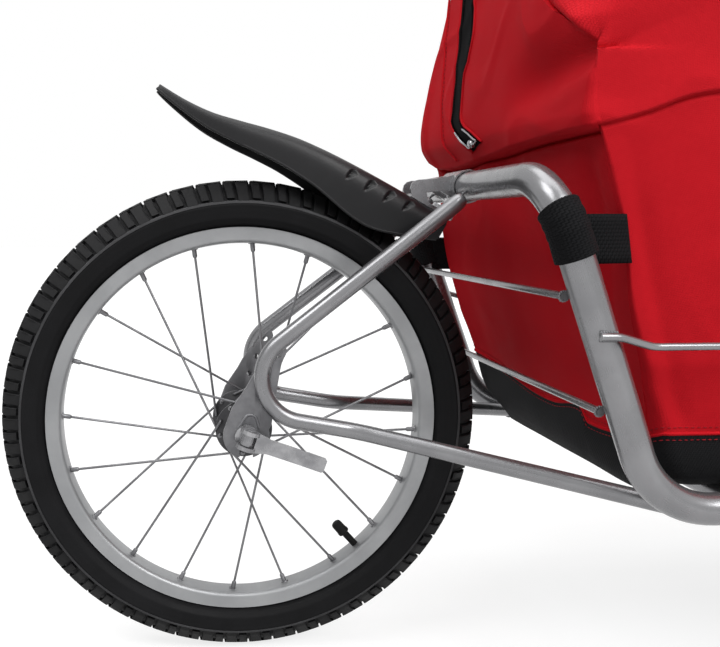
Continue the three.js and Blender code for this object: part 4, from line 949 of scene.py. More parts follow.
def loop_round(centre: Vector, axis: Vector, radius: float, steps: int = 24) -> list[Vector]:
    """A closed circle of points about an axis.

    Args:
        centre: Its middle.
        axis: The way that the axis points.
        radius: Its radius.
        steps: The number of steps round it.

    Returns:
        The points, the first again at the end.
    """
    (_, first, second), _ = frames_along([centre, centre + axis])
    ring = ring_points(centre, first, second, radius, steps)
    return [*ring, ring[0]]


# Sub-assemblies


@dataclass
class BedFrame:
    """The bent tube bed: two hoops, their rails, the bars under the bag and the guard rods."""

    finishes: Finishes
    welds: Beading
    tube_radius: float = 11.0
    half_track: float = 175.5
    rail_height: float = 169.0
    hoop_height: float = 383.0
    rear_corner: float = 260.0
    bed_length: float = 520.0
    leg_run: float = 84.5
    lower_bend: float = 60.0
    upper_bend: float = 40.0
    joint_setback: float = 90.0
    floor_bar_radius: float = 8.0
    floor_bar_setback: float = 70.0
    floor_bars: int = 3
    cross_bar_rise: float = 36.0
    cross_bar_lead: float = 3.0
    rod_radius: float = 2.5
    rear_rods: tuple[tuple[str, float, float], ...] = (
        ("rear_rod_upper", 193.0, 309.8), ("rear_rod_lower", 222.8, 234.3))
    side_rod_height: float = 279.0
    side_rod_end_height: float = 286.5
    side_rod_inset: float = 7.0
    side_rod_run: float = 26.0
    side_rod_start: float = 6.0
    side_rod_bend: float = 25.0
    rod_sides: int = 16
    rod_reach: float = 0.8
    bar_reach: float = 0.3
    weld_half_length: float = 5.0
    weld_lift: float = 0.5
    seat_gap: float = 0.3

    @property
    def front_corner(self) -> float:
        """Where the front legs meet the line of the rails."""
        return self.rear_corner + self.bed_length

    @property
    def leg_slope(self) -> float:
        """How far a leg leans for each millimetre that it rises."""
        return self.leg_run / (self.hoop_height - self.rail_height)

    def leg_x(self, height: float) -> float:
        """Where the rear legs are at a height."""
        return self.rear_corner - (height - self.rail_height) * self.leg_slope

    def hoop_path(self, end: float, corner: float, top: float) -> list[Vector]:
        """The centre line of a hoop and its rails.

        Args:
            end: Where the rails end.
            corner: Where the legs meet the line of the rails.
            top: Where the top bar is.

        Returns:
            Points along the tube.
        """
        y, low, high = self.half_track, self.rail_height, self.hoop_height
        corners = [Vector(place) for place in (
            (end, -y, low), (corner, -y, low), (top, -y, high), (top, y, high), (corner, y, low), (end, y, low))]
        return bent_path(corners, [self.lower_bend, self.upper_bend, self.upper_bend, self.lower_bend])

    def bar(self, mould: Mould, x: float, height: float, radius: float) -> None:
        """Adds a bar from side to side.

        Args:
            mould: Where to add it.
            x: Its place along the trailer.
            height: Its height.
            radius: Its radius.
        """
        reach = self.half_track - self.tube_radius * self.bar_reach
        mould.tube([Vector((x, -reach, height)), Vector((x, reach, height))], radius, 24)

    def build(self) -> None:
        """Makes the frame's pieces."""
        joint = self.front_corner - self.joint_setback
        rear = Mould()
        rear.tube(self.hoop_path(joint - self.seat_gap, self.rear_corner, self.rear_corner - self.leg_run),
                  self.tube_radius)
        last = joint - self.floor_bar_setback / 2.0
        first = self.rear_corner + self.floor_bar_setback
        for index in range(self.floor_bars):
            x = first + (last - first) * index / (self.floor_bars - 1)
            self.bar(rear, x, self.rail_height, self.floor_bar_radius)
        finish_piece(rear.piece("bed_rear_tubes"), Body.FRAME, self.finishes.tube, ["rear_frame"])
        front = Mould()
        front.tube(self.hoop_path(joint, self.front_corner, self.front_corner + self.leg_run), self.tube_radius)
        cross_x = self.front_corner + self.cross_bar_rise * self.leg_slope + self.cross_bar_lead
        self.bar(front, cross_x, self.rail_height + self.cross_bar_rise, self.floor_bar_radius)
        finish_piece(front.piece("bed_front_tubes"), Body.FRAME, self.finishes.tube,
                     ["front_frame"])
        self.build_rods()

    def build_rods(self) -> None:
        """Makes the guard rods."""
        for name, x, height in self.rear_rods:
            rod = Mould()
            reach = self.half_track - self.tube_radius * self.rod_reach
            rod.tube([Vector((x, -reach, height)), Vector((x, reach, height))], self.rod_radius, self.rod_sides)
            finish_piece(rod.piece(f"{name}_wire"), Body.FRAME, self.finishes.tube, [name])
        outer = self.half_track + self.tube_radius + self.rod_radius + self.seat_gap
        leg = self.leg_x(self.side_rod_end_height)
        middle = self.rear_corner + self.bed_length / 2.0
        for side in Side:
            rear = [(leg - self.side_rod_start, outer, self.side_rod_end_height),
                    (leg + self.side_rod_start, outer, self.side_rod_end_height),
                    (leg + self.side_rod_start + self.side_rod_run, outer - self.side_rod_inset,
                     self.side_rod_height)]
            front = [(2.0 * middle - x, y, z) for x, y, z in reversed(rear)]
            corners = [Vector((x, side.value * y, z)) for x, y, z in [*rear, *front]]
            rod = Mould()
            rod.tube(bent_path(corners, [self.side_rod_bend] * 4), self.rod_radius, self.rod_sides)
            finish_piece(rod.piece(f"side_rod_{side.label}_wire"), Body.FRAME,
                         self.finishes.tube, [f"side_rod_{side.label}"])
        self.build_rod_welds()

    def build_rod_welds(self) -> None:
        """Makes the weld beads of the guard rods on the legs."""
        lines = []
        inner = self.half_track - self.tube_radius + self.weld_lift
        outer = self.half_track + self.tube_radius + self.weld_lift
        rear = self.leg_x(self.side_rod_end_height)
        front = self.rear_corner + self.front_corner - rear
        for side in Side:
            for _, x, height in self.rear_rods:
                lines.append(loop_round(Vector((x, side.value * inner, height)), ACROSS,
                                        self.rod_radius + self.weld_lift))
            for x in (rear, front):
                for rise in (-self.rod_radius, self.rod_radius):
                    lines.append([Vector((x + run, side.value * outer, self.side_rod_end_height + rise))
                                  for run in (-self.weld_half_length, self.weld_half_length)])
        self.welds.piece("rod_welds", lines, Slot.FRAME_STEEL)


@dataclass
class WheelStays:
    """The bent stays each side of the wheel, with their dropout plates."""

    finishes: Finishes
    welds: Beading
    axle_height: float = 194.0
    tube_radius: float = 6.35
    corners: tuple[Triple, ...] = (
        (165.0, 43.0, 374.2), (-35.46, 53.5, 219.9), (86.0, 57.8, 197.9), (297.0, 166.4, 163.7))
    bends: tuple[float, float] = (34.0, 60.0)
    closed_tip: Table = ((0.0, 0.35), (0.6, 0.6), (2.0, 0.8), (4.5, 0.93), (9.0, 1.0))
    weld_setback: float = 7.0
    weld_lift: float = 0.4
    tip_weld: Table = ((-1.0, 2.7), (2.0, 5.4), (5.0, 6.0))
    plate_inner: float = 45.3
    plate_thickness: float = 4.0
    plate_bevel: float = 0.6
    lobe_radius: float = 18.0
    slot_half_width: float = 5.2
    plate_edge: Table = (
        (19.5, 8.0), (22.0, 28.0), (24.5, 42.0), (27.0, 56.0), (31.0, 66.0), (27.0, 71.0), (20.0, 67.0),
        (7.0, 50.0), (0.0, 38.0), (-11.0, 22.0))
    holes: Table = ((24.0, 63.0), (16.0, 48.0), (10.0, 33.0))
    hole_radius: float = 2.2
    ribs: tuple[Table, ...] = (
        ((-8.5, 4.0), (-4.0, 10.0), (0.5, 16.0), (6.5, 15.5), (9.0, 9.0), (10.5, 4.5)),)
    rib_radius: float = 1.3
    rib_sink: float = 0.5

    def build(self) -> None:
        """Makes both stays."""
        for side in Side:
            mould = Mould()
            path = bent_path([Vector((x, side.value * y, z)) for x, y, z in self.corners], self.bends)
            tip = (path[1] - path[0]).normalized()
            closing = [path[0] + tip * run for run, _ in self.closed_tip]
            radii = [self.tube_radius * share for _, share in self.closed_tip]
            mould.tube([*closing, *path[1:]], radii + [self.tube_radius] * (len(path) - 1), 32)
            finish_piece(mould.piece(f"stay_{side.label}_tube"), Body.FRAME, self.finishes.tube,
                         [f"stay_{side.label}"])
            self.build_plate(side)
            back = (path[-2] - path[-1]).normalized()
            ends = [loop_round(path[-1] + back * self.weld_setback, back, self.tube_radius + self.weld_lift),
                    [path[0] + Vector((x, 0.0, z)) for x, z in self.tip_weld]]
            self.welds.piece(f"stay_{side.label}_weld", ends, Slot.FRAME_STEEL)

    def build_plate(self, side: Side) -> None:
        """Makes a dropout plate.

        Args:
            side: The side that it is on.
        """
        y = side.value * self.plate_inner
        edge = [Vector((x, y, self.axle_height + z)) for x, z in self.plate_edge]
        whole = [edge[0], *smooth_line(edge[1:-1], 3), edge[-1]]
        for radius, turns in ((self.lobe_radius, range(165, 254, 8)), (self.slot_half_width, range(180, -1, -20)),
                              (self.lobe_radius, range(287, 380, 8))):
            whole += [on_circle(degrees, radius, y, self.axle_height) for degrees in turns]
        holes = [loop_round(Vector((x, y, self.axle_height + z)), ACROSS, self.hole_radius, 16)[:-1]
                 for x, z in self.holes]
        plate = Mould()
        plate.plate([whole, *holes], Vector((0.0, side.value * self.plate_thickness, 0.0)), self.plate_bevel)
        face = y + side.value * (self.plate_thickness - self.rib_sink)
        for rib in self.ribs:
            line = smooth_line([Vector((x, face, self.axle_height + z)) for x, z in rib], 6)
            radii = [self.rib_radius * min(1.0, 0.25 + min(index, len(line) - 1 - index) / 4.0)
                     for index in range(len(line))]
            plate.tube(line, radii, 12)
        finish_piece(plate.piece(f"dropout_plate_{side.label}"), Body.FRAME, self.finishes.plate)


@dataclass
class Wheel:
    """The 16 inch wheel: tyre with its tread, rim, two-cross spokes, hub and valve."""

    finishes: Finishes
    around_axle: bpy.types.NodeTree
    axle_height: float = 194.0
    outer_radius: float = 194.0
    half_height: float = 20.5
    half_width: float = 20.6
    tread_depth: float = 2.6
    rim_outer: float = 158.5
    rim_inner: float = 145.9
    rim_half_width: float = 12.5
    rim_seat: float = 152.6
    rim_well: float = 149.0
    segments: int = 192
    spokes: int = 20
    lacing_set: int = 4
    first_spoke: float = 86.8
    spoke_lead: float = 72.0
    spoke_radius: float = 1.0
    nipple_length: float = 9.8
    eyelet_setback: float = 2.9
    hole_circle: float = 20.0
    flange_spacing: float = 23.5
    flange_thickness: float = 2.2
    flange_radius: float = 22.8
    shoulder_blocks: int = 57
    block_steps: int = 6
    block_draft: float = 0.22
    valve_degrees: float = 311.8
    valve_length: float = 22.0
    cap_cover: float = 8.0

    @property
    def centre(self) -> Vector:
        """The middle of the axle."""
        return Vector((0.0, 0.0, self.axle_height))

    @property
    def tube_centre(self) -> float:
        """The radius of the middle of the tyre's section."""
        return self.outer_radius - self.half_height

    def packed_axle(self) -> Vector:
        """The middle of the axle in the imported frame, in metres."""
        return (self.centre + Vector((inward_shift(), 0.0, 0.0))) * MM

    def section(self, degrees: float, lift: float = 0.0) -> tuple[float, float]:
        """A point on the tyre's section.

        Args:
            degrees: Angle from the left side, towards the crown.
            lift: Height over the surface.

        Returns:
            Radius and place across.
        """
        angle = math.radians(degrees)
        return (self.tube_centre + (self.half_height + lift) * math.sin(angle),
                (self.half_width + lift) * math.cos(angle))

    def build(self) -> None:
        """Makes the wheel's pieces."""
        self.build_tyre()
        self.build_rim()
        self.build_spokes()
        self.build_hub()
        self.build_valve()

    def build_tyre(self) -> None:
        """Makes the tyre's casing, a light band with a painted highlight between sidewall and tread, and the tread."""
        half = []
        bead = [(self.rim_outer - 4.0, 10.8), (self.rim_outer + 0.4, 11.2), (self.rim_outer + 1.5, 13.4)]
        ridges = {-26: 0.5, -22: 0.5, 2: 0.3, 5: 0.3}
        half.extend(bead)
        for degrees in (-38, -34, -30, -26, -22, -18, -12, -6, 0, 2, 5, 7, 8):
            half.append(self.section(degrees, ridges.get(degrees, 0.0)))
        for degrees in range(12, 92, 4):
            half.append(self.section(degrees, -self.tread_depth * min((degrees - 8) / 24.0 + 0.3, 1.0)))
        profile = [*half, *[(radius, -place) for radius, place in reversed(half[:-1])]]
        casing = Mould()
        casing.turning(profile, self.centre, ACROSS, self.segments, closed=True)
        finish_piece(casing.piece("tyre_casing"), Body.WHEEL, self.finishes.tyre, ["tyre"])
        # Painted highlight: a thin band just outside the tread, in a much lighter rubber, stands for the light caught
        # along the sidewall's ridge.
        line = Mould()
        for sign in (1.0, -1.0):
            low, high = self.section(7.5, 0.5), self.section(11.5, 0.5)
            line.turning([(low[0] - 0.6, sign * (low[1] - 1.5)), (low[0], sign * low[1]), (high[0], sign * high[1]),
                          (high[0] + 0.6, sign * (high[1] - 1.5))], self.centre, ACROSS, self.segments, closed=True)
        finish_piece(line.piece("tyre_lines"), Body.WHEEL, self.finishes.highlight_rubber)
        self.build_tread()

    def block(self, mould: Mould, from_section: float, to_section: float, from_turn: float, to_turn: float,
              slant: float) -> None:
        """Adds one tread block.

        Args:
            mould: Where to add it.
            from_section: Where it starts on the section, in degrees.
            to_section: Where it ends on the section.
            from_turn: Where it starts round the wheel, in degrees.
            to_turn: Where it ends round the wheel.
            slant: How far its far end is turned on, in degrees.
        """
        rows = []
        steps = self.block_steps
        span = to_section - from_section
        for lift, inset in ((-self.tread_depth - 0.3, 0.0), (-0.35, self.block_draft * 0.3), (0.0, self.block_draft)):
            row = []
            edge = [(step / steps, 0.0) for step in range(steps)]
            edge += [(1.0, 0.0), (1.0, 1.0)]
            edge += [(1.0 - step / steps, 1.0) for step in range(1, steps)]
            edge += [(0.0, 1.0)]
            for across, round_share in edge:
                section_inset = inset * 2.4 * (1.0 if across == 0.0 else -1.0 if across == 1.0 else 0.0)
                radius, y = self.section(from_section + span * across + section_inset, lift)
                turn = from_turn + (to_turn - from_turn) * round_share
                turn += inset * 0.8 * (1.0 if round_share == 0.0 else -1.0) + slant * across
                row.append(on_circle(turn, radius, y, self.axle_height))
            rows.append(row)
        mould.grid(rows, around=True)
        mould.fan(rows[-1], rows[-1][0] - self.centre)

    def build_tread(self) -> None:
        """Makes the ribs and blocks of the tread with copies round the axle."""
        pitch = 360.0 / self.shoulder_blocks
        seed = Mould()
        for near, far, slant in ((13.5, 64.5, 0.5), (166.5, 115.5, 0.5)):
            self.block(seed, near, far, 0.0, pitch * 0.45, slant)
            self.block(seed, near + (far - near) * 0.12, far, pitch * 0.56, pitch * 0.88, slant)
        for near, far, slant in ((68.5, 78.5, 0.5), (111.5, 101.5, 0.5)):
            self.block(seed, near, far, 0.1, pitch * 0.38, slant)
            self.block(seed, near, far, pitch * 0.5, pitch * 0.88, slant)
        self.block(seed, 82.5, 97.5, 0.15, pitch * 0.86, 0.0)
        # The blocks take the lighter tread rubber: painted light on the block tops against the darker casing.
        tread = seed.piece("tyre_tread", sharp_degrees=30.0)
        apply_nodes(tread, self.around_axle, Count=self.shoulder_blocks, Axle=self.packed_axle(),
                    Material=self.finishes.tread)
        finish_piece(tread, Body.WHEEL, self.finishes.tread)

    def build_rim(self) -> None:
        """Makes the rim."""
        inner, outer, width = self.rim_inner, self.rim_outer, self.rim_half_width
        half = [(inner, 0.0), (inner, width - 4.0), (inner + 0.5, width - 2.2), (inner + 1.8, width - 0.6),
                (inner + 3.4, width), (outer - 1.2, width), (outer - 0.3, width + 0.35), (outer, width - 0.2),
                (outer - 0.3, width - 1.0), (outer - 1.2, width - 1.3), (self.rim_seat, width - 1.3),
                (self.rim_seat, 6.2), (self.rim_well, 5.0), (self.rim_well, 0.0)]
        profile = [*[(radius, -place) for radius, place in reversed(half[1:-1])], *half]
        rim = Mould()
        rim.turning(profile, self.centre, ACROSS, self.segments, closed=True)
        finish_piece(rim.piece("rim_hoop"), Body.WHEEL, self.finishes.alloy, ["rim"])

    def spoke(self, mould: Mould, number: int) -> None:
        """Adds one spoke with its head, bend and nipple.

        Args:
            mould: Where to add it.
            number: Its place round the rim, from zero.
        """
        step = 360.0 / self.spokes
        rim_degrees = self.first_spoke + step * number
        side = -1.0 if number % 2 == 0 else 1.0
        leading = number % self.lacing_set in (0, 3)
        hub_degrees = rim_degrees + (-self.spoke_lead if leading else self.spoke_lead)
        inner = self.flange_spacing - self.flange_thickness / 2.0
        outer = self.flange_spacing + self.flange_thickness / 2.0
        elbow_y = side * (outer + 3.0 if leading else inner - 1.5)
        head_y = side * (inner - 0.3 if leading else outer + 0.3)
        away = -side if leading else side
        head = on_circle(hub_degrees, self.hole_circle, head_y, self.axle_height)
        elbow = on_circle(hub_degrees, self.hole_circle, elbow_y, self.axle_height)
        rim_point = on_circle(rim_degrees, self.rim_well, 0.0, self.axle_height)
        along = (rim_point - elbow).normalized()
        mould.tube(bent_path([head, elbow, rim_point], [1.6], 20.0), self.spoke_radius, 10)
        out = Vector((0.0, away, 0.0))
        mould.turning([(0.0, 1.1), (1.2, 1.0), (1.9, 0.5), (1.9, 0.1), (1.0, -0.2)], head, out, 12)
        base = self.nipple_length
        mould.turning([(1.05, -base - 0.5), (1.5, -base), (1.9, -base + 0.8), (1.9, 0.5), (2.9, 0.9), (3.0, 1.8),
                       (1.2, 2.2)], rim_point, along, 12)
        eyelet_place = rim_point - along * self.eyelet_setback
        mould.turning([(2.2, -0.9), (3.2, -0.6), (3.4, 0.4)], eyelet_place, along, 14)

    def build_spokes(self) -> None:
        """Makes the spokes: a set of four repeats round the wheel."""
        mould = Mould()
        for number in range(self.lacing_set):
            self.spoke(mould, number)
        spokes = mould.piece("laced_spokes")
        apply_nodes(spokes, self.around_axle, Count=self.spokes // self.lacing_set, Axle=self.packed_axle(),
                    Material=self.finishes.spoke)
        finish_piece(spokes, Body.WHEEL, self.finishes.spoke,
                     [f"spoke_{number:02d}" for number in range(1, self.spokes + 1)])

    def build_hub(self) -> None:
        """Makes the hub shell with its two flanges."""
        inner = self.flange_spacing - self.flange_thickness / 2.0
        outer = self.flange_spacing + self.flange_thickness / 2.0
        half = [(10.0, 0.0), (10.0, 15.0), (10.6, 17.5), (12.4, 19.5), (13.5, inner - 1.0), (14.3, inner - 0.3),
                (self.flange_radius - 0.6, inner), (self.flange_radius, inner + 0.5),
                (self.flange_radius, outer - 0.5), (self.flange_radius - 0.6, outer), (14.3, outer + 0.2),
                (13.5, outer + 0.8), (13.5, 30.2), (13.0, 31.0), (10.6, 31.0), (10.6, 29.0), (7.5, 29.0)]
        profile = [*[(radius, -place) for radius, place in reversed(half[1:])], *half]
        hub = Mould()
        hub.turning(profile, self.centre, ACROSS, 64)
        finish_piece(hub.piece("hub_barrel"), Body.WHEEL, self.finishes.hub, ["hub_shell"])

    def build_valve(self) -> None:
        """Makes the valve's cap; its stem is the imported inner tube's."""
        along = on_circle(self.valve_degrees, 1.0, 0.0, 0.0)
        place = self.centre + along * (self.rim_inner - self.valve_length + self.cap_cover)
        cap = Mould()
        cap.turning([(0.0, -12.5), (2.6, -12.4), (3.8, -11.6), (4.4, -10.4), (4.6, -3.0), (4.9, -2.6), (4.9, -0.4),
                     (4.5, 0.0), (3.7, 0.0)], place, along, 24)
        finish_piece(cap.piece("valve_cap_cover"), Body.WHEEL, self.finishes.rubber,
                     ["valve_cap"])


@dataclass
class Mudguard:
    """The short plastic mudguard that hangs from the top bar."""

    finishes: Finishes
    crown: Table = (
        (-61.9, 458.0), (-43.0, 446.4), (-22.9, 437.2), (-1.6, 431.1), (19.9, 425.6), (41.1, 419.1), (61.7, 410.8),
        (81.8, 401.5), (101.7, 391.6), (121.3, 381.2), (140.6, 370.3), (160.0, 359.5))
    widths: Table = ((0.0, 9.0), (0.12, 20.8), (0.3, 28.0), (1.0, 28.0))
    depths: Table = ((0.0, 4.0), (0.1, 8.0), (0.3, 17.9), (0.55, 27.8), (0.78, 37.0),
                                               (1.0, 18.9))
    thickness: float = 2.4
    crown_power: float = 0.42
    columns: int = 72
    row_steps: int = 22
    length: float = 246.0
    lip_radius: float = 1.3
    gills: int = 4
    gill_first: float = 0.655
    gill_step: float = 0.07
    gill_lean: float = 0.011
    gill_foot: float = 0.085
    gill_top: float = 0.235
    gill_depth: float = 2.0
    gill_breadth: float = 6.4

    def gill(self, share: float, turn: float) -> float:
        """How far the guard is pressed in at a point of its flank.

        Args:
            share: Its place along the guard, from 0 to 1.
            turn: Its place round the section, from 0 to 1.

        Returns:
            The depth in millimetres.
        """
        flank = min(turn, 1.0 - turn)
        up = (flank - self.gill_foot) / (self.gill_top - self.gill_foot)
        if up <= 0.0 or up >= 1.1:
            return 0.0
        breadth = self.gill_breadth * min(up, 1.0) ** 0.7 * (1.0 - max(up - 0.8, 0.0) / 0.3)
        for index in range(self.gills):
            middle = self.gill_first + self.gill_step * index - self.gill_lean * (1.0 - up)
            place = (share - middle) * self.length
            if -0.35 * breadth < place < breadth:
                rise = (place + 0.35 * breadth) / (0.35 * breadth)
                fall = 1.0 - max(place, 0.0) / max(breadth, 0.01)
                return self.gill_depth * min(rise, 1.0) * fall * min(1.0, 4.0 * up)
        return 0.0

    def point(self, line: Sequence[Vector], share: float, turn: float, inset: float) -> Vector:
        """A point on the guard.

        Args:
            line: Points along the middle of its top.
            share: Its place along that line, from 0 to 1.
            turn: Its place round the section, from 0 to 1.
            inset: How far it lies under the top surface.

        Returns:
            The point.
        """
        place = share * (len(line) - 1)
        index = min(int(place), len(line) - 2)
        middle = line[index].lerp(line[index + 1], place - index)
        tangent = (line[index + 1] - line[index]).normalized()
        outward = Vector((-tangent.z, 0.0, tangent.x))
        half = read_smooth(self.widths, share) - inset
        depth = read_smooth(self.depths, share)
        angle = math.pi * turn
        cosine, sine = math.cos(angle), max(math.sin(angle), 0.0)
        across = -math.copysign(abs(cosine) ** self.crown_power, cosine) * half
        fall = (1.0 - sine ** self.crown_power) * (depth - inset) + inset
        if turn in (0.0, 1.0):
            fall = depth
        return middle - outward * fall + Vector((0.0, across, 0.0))

    def build(self) -> None:
        """Makes the mudguard."""
        line = smooth_line([Vector((x, 0.0, z)) for x, z in self.crown], self.row_steps)
        shares = [row / (len(line) - 1) for row in range(len(line))]
        turns = [column / self.columns for column in range(self.columns + 1)]
        outer = [[self.point(line, share, turn, self.gill(share, turn)) for turn in turns] for share in shares]
        inner = [[self.point(line, share, turn, self.thickness) for turn in turns] for share in shares]
        guard = Mould()
        guard.grid(outer)
        guard.grid(inner, turned=True)
        edge, far = ([[a[place], b[place]] for a, b in zip(outer, inner)] for place in (0, -1))
        tip, end = ([[a, b] for a, b in zip(outer[place], inner[place])] for place in (0, -1))
        for strip in (edge, far, tip, end):
            guard.grid(strip)
        for rim in (edge, far):
            guard.tube([(a + b) / 2.0 for a, b in rim[::4]], self.lip_radius, 8)
        finish_piece(guard.piece("mudguard_shell", sharp_degrees=50.0), Body.FRAME,
                     self.finishes.plastic, ["mudguard"])


@dataclass
class Bag:
    """The tall red luggage bag with its black base, its rear zip and its seams."""

    finishes: Finishes
    stitching: Beading
    coil: Beading
    middle: float = 520.0
    floor: float = 177.8
    band_top: float = 216.0
    top: float = 599.0
    half_width: float = 157.0
    bulge: float = 8.0
    rear_reach: float = 160.0
    rear_bow: float = 10.0
    near_rear: Table = ((177.0, 272.0), (216.0, 267.0), (255.0, 256.0), (299.0, 241.0), (332.0, 234.5), (351.0, 231.0),
                        (385.0, 219.0), (412.0, 208.0), (424.0, 203.5), (462.0, 201.0), (505.0, 198.0),
                        (558.0, 202.0), (599.0, 212.0))
    far_rear: Table = ((177.0, 259.0), (216.0, 250.0), (232.0, 245.0), (280.0, 229.0), (329.0, 213.0), (385.0, 204.5),
                       (405.0, 201.0), (424.0, 188.0), (451.0, 186.5), (505.0, 194.0), (558.0, 203.0), (599.0, 213.0))
    corner: Table = ((177.0, 22.0), (216.0, 12.0), (300.0, 6.0), (400.0, 4.0), (462.0, 5.0), (520.0, 14.0),
                     (599.0, 30.0))
    tuck_across: Table = ((460.0, 0.0), (478.0, 26.0), (501.0, 66.0), (530.0, 96.0), (560.0, 118.0), (599.0, 132.0))
    tuck_along: Table = ((460.0, 0.0), (478.0, 11.0), (501.0, 28.0), (540.0, 50.0), (599.0, 70.0))
    narrowing: Table = ((177.0, 1.0), (540.0, 1.0), (570.0, 0.985), (588.0, 0.95), (599.0, 0.89))
    rear_hem: Table = ((-157.0, 216.0), (-140.0, 210.0), (-68.0, 205.0), (-58.0, 216.0), (-14.0, 211.0), (28.0, 213.0),
                       (98.0, 225.0), (157.0, 231.0))
    rear_seam: Table = ((-166.0, 413.0), (-107.0, 411.5), (-58.0, 410.0), (20.0, 406.5), (89.0, 403.0), (140.0, 404.5),
                        (165.0, 412.0))
    side_seam: Table = ((190.0, 412.0), (210.0, 415.0), (223.0, 418.0), (241.0, 423.0), (266.0, 432.0),
                        (290.0, 436.0), (400.0, 450.0), (520.0, 455.0))
    zip_edges: tuple[tuple[float, float, float, float], ...] = (
        (88.0, 583.0, 78.0, 583.0), (97.0, 565.0, 62.0, 562.0), (97.8, 545.6, 51.0, 535.0),
        (87.6, 517.0, 39.5, 509.0), (79.7, 490.5, 41.7, 489.0), (75.6, 463.6, 47.5, 467.0),
        (73.4, 446.8, 45.3, 444.5), (66.6, 434.5, 36.0, 434.5), (48.0, 423.5, 20.0, 427.0), (29.0, 412.5, 5.0, 419.0))
    flap_line: Table = ((149.0, 575.0), (146.6, 557.0), (135.4, 528.0), (114.4, 473.0), (102.8, 446.0), (95.0, 424.0),
                        (82.0, 409.0))
    rear_steps: int = 110
    shoulder_steps: int = 42
    side_steps: int = 84
    front_steps: int = 30
    corner_steps: int = 7
    lower_levels: int = 64
    upper_levels: int = 104
    hem_fade: float = 12.0
    top_fade: float = 19.0
    stitch_gap: float = 5.0
    welt_radius: float = 1.3
    zip_steps: int = 12
    base_tuck: Table = ((0.0, 0.955), (0.15, 0.985), (0.5, 1.0), (1.0, 1.0))
    top_steps: int = 16
    top_crown: float = 4.0
    top_limit: float = 5.5
    sag: float = 13.0
    sag_place: float = 284.0
    sag_width: float = 22.0
    swell: float = 10.0

    def across(self, height: float) -> float:
        """Half the bag's width at a height."""
        return (self.half_width + self.bulge * (height - self.floor) / (self.top - self.floor)) * read_smooth(
            self.narrowing, height)

    def rear_x(self, y: float, near: float, far: float) -> float:
        """Where the rear face is.

        Args:
            y: The place across the bag.
            near: Where its right edge is.
            far: Where its left edge is.

        Returns:
            The place along the trailer.
        """
        share = held((y + self.rear_reach) / (2.0 * self.rear_reach))
        return near + (far - near) * share - self.rear_bow * share * (1.0 - share)

    def seam_height(self, point: Vector, out: Vector) -> float:
        """The height of the fold round the bag's middle.

        Args:
            point: A point on the bag.
            out: The way out there.

        Returns:
            The fold's height there.
        """
        if out.x < -0.7:
            return read_smooth(self.rear_seam, point.y)
        from_end = min(point.x, 2.0 * self.middle - point.x)
        return read_smooth(self.side_seam, from_end)

    def hem_height(self, point: Vector, out: Vector) -> float:
        """The height at which the red cloth meets the black base.

        Args:
            point: A point on the bag.
            out: The way out there.

        Returns:
            The hem's height there.
        """
        if out.x < -0.7:
            return read_smooth(self.rear_hem, point.y)
        return self.band_top + (15.0 * math.exp(-max(point.x - 245.0, 0.0) / 40.0) if point.y > 0.0 else 0.0)

    def tucked(self, point: Vector, near: float) -> Vector:
        """Folds in the bag's right rear shoulder, whose cloth isn't filled.

        Args:
            point: A point of the plain form.
            near: Where the rear face's right edge is.

        Returns:
            The point after the fold.
        """
        across, along = read_smooth(self.tuck_across, point.z), read_smooth(self.tuck_along, point.z)
        if across < 0.5 or point.y > 0.0:
            return point
        start = Vector((near, -self.across(point.z) + across, point.z))
        run = Vector((along, -across, 0.0))
        outward = Vector((-across, -along, 0.0)).normalized()
        off = point - start
        share = off.dot(run) / run.length_squared
        over = off.dot(outward)
        if share < 0.0:
            return point
        softness = 0.4 + 26.0 * min(share, 1.5)
        pushed = 0.5 * (over + math.sqrt(over * over + softness * softness)) - softness * 0.15
        size = min(across / 30.0, 1.0)
        swell = self.swell * size * (1.0 - math.exp(-share * 9.0)) * math.exp(-share * share * 1.4)
        return point - outward * (max(pushed, 0.0) - swell)

    def folds(self, point: Vector, out: Vector) -> float:
        """How far the cloth stands out at a point.

        Args:
            point: The point.
            out: The way out there.

        Returns:
            The distance outward in millimetres.
        """
        rear = max(-out.x, 0.0)
        over = point.z - self.seam_height(point, out)
        near_share = held((60.0 - point.y) / 100.0)
        strength = 1.3 + rear * (2.3 + 3.6 * near_share)
        if over > 0.0:
            lift = strength * math.exp(-over / 24.0) * min(over / 1.8, 1.0) ** 0.5
        else:
            lift = -0.8 * strength * math.exp(over / 13.0) * min(0.4 - over / 2.0, 1.0)
            lift -= (1.2 + 3.6 * rear) * bell(over + 1.1, 1.1)
        if rear > 0.3:
            along = Vector((0.0, -0.99, 0.14))
            off = Vector((0.0, point.y + 104.0, point.z - 453.0))
            reach = off.dot(along)
            width = 19.0 - 9.0 * held((reach + 50.0) / 110.0)
            distance = abs((off - along * reach).z)
            lift -= 10.0 * rear * bell(distance, width) * bell(max(-reach - 10.0, 0.0), 34.0)
            lift += 3.0 * bell(point.y + 96.0, 36.0) * bell(point.z - 488.0, 26.0)
            lift -= 3.5 * bell(point.y + 132.0 + 0.1 * (point.z - 350.0), 9.0) * held(-over / 30.0)
        elif over < 0.0:
            lift -= 2.2 * bell(point.x - 262.0 + 0.3 * (point.z - 300.0), 7.0) * held(-over / 60.0)
        lower = 1.0 if over < 0.0 else 0.35
        upright = Vector((point.x * 0.022, point.y * 0.022, point.z * 0.005))
        lift += 3.0 * lower * noise.noise(upright + Vector((5.0, 2.0, 9.0)))
        lift += 2.6 * noise.noise(point * 0.0085)
        crossed = noise.noise(Vector((point.x * 0.012 + point.z * 0.008, point.y * 0.013, point.z * 0.012)))
        lift += 1.5 * max(1.0 - 5.0 * abs(crossed), 0.0) * (1.0 - lower * 0.5)
        lift += 0.35 * noise.noise(point * 0.05)
        return lift

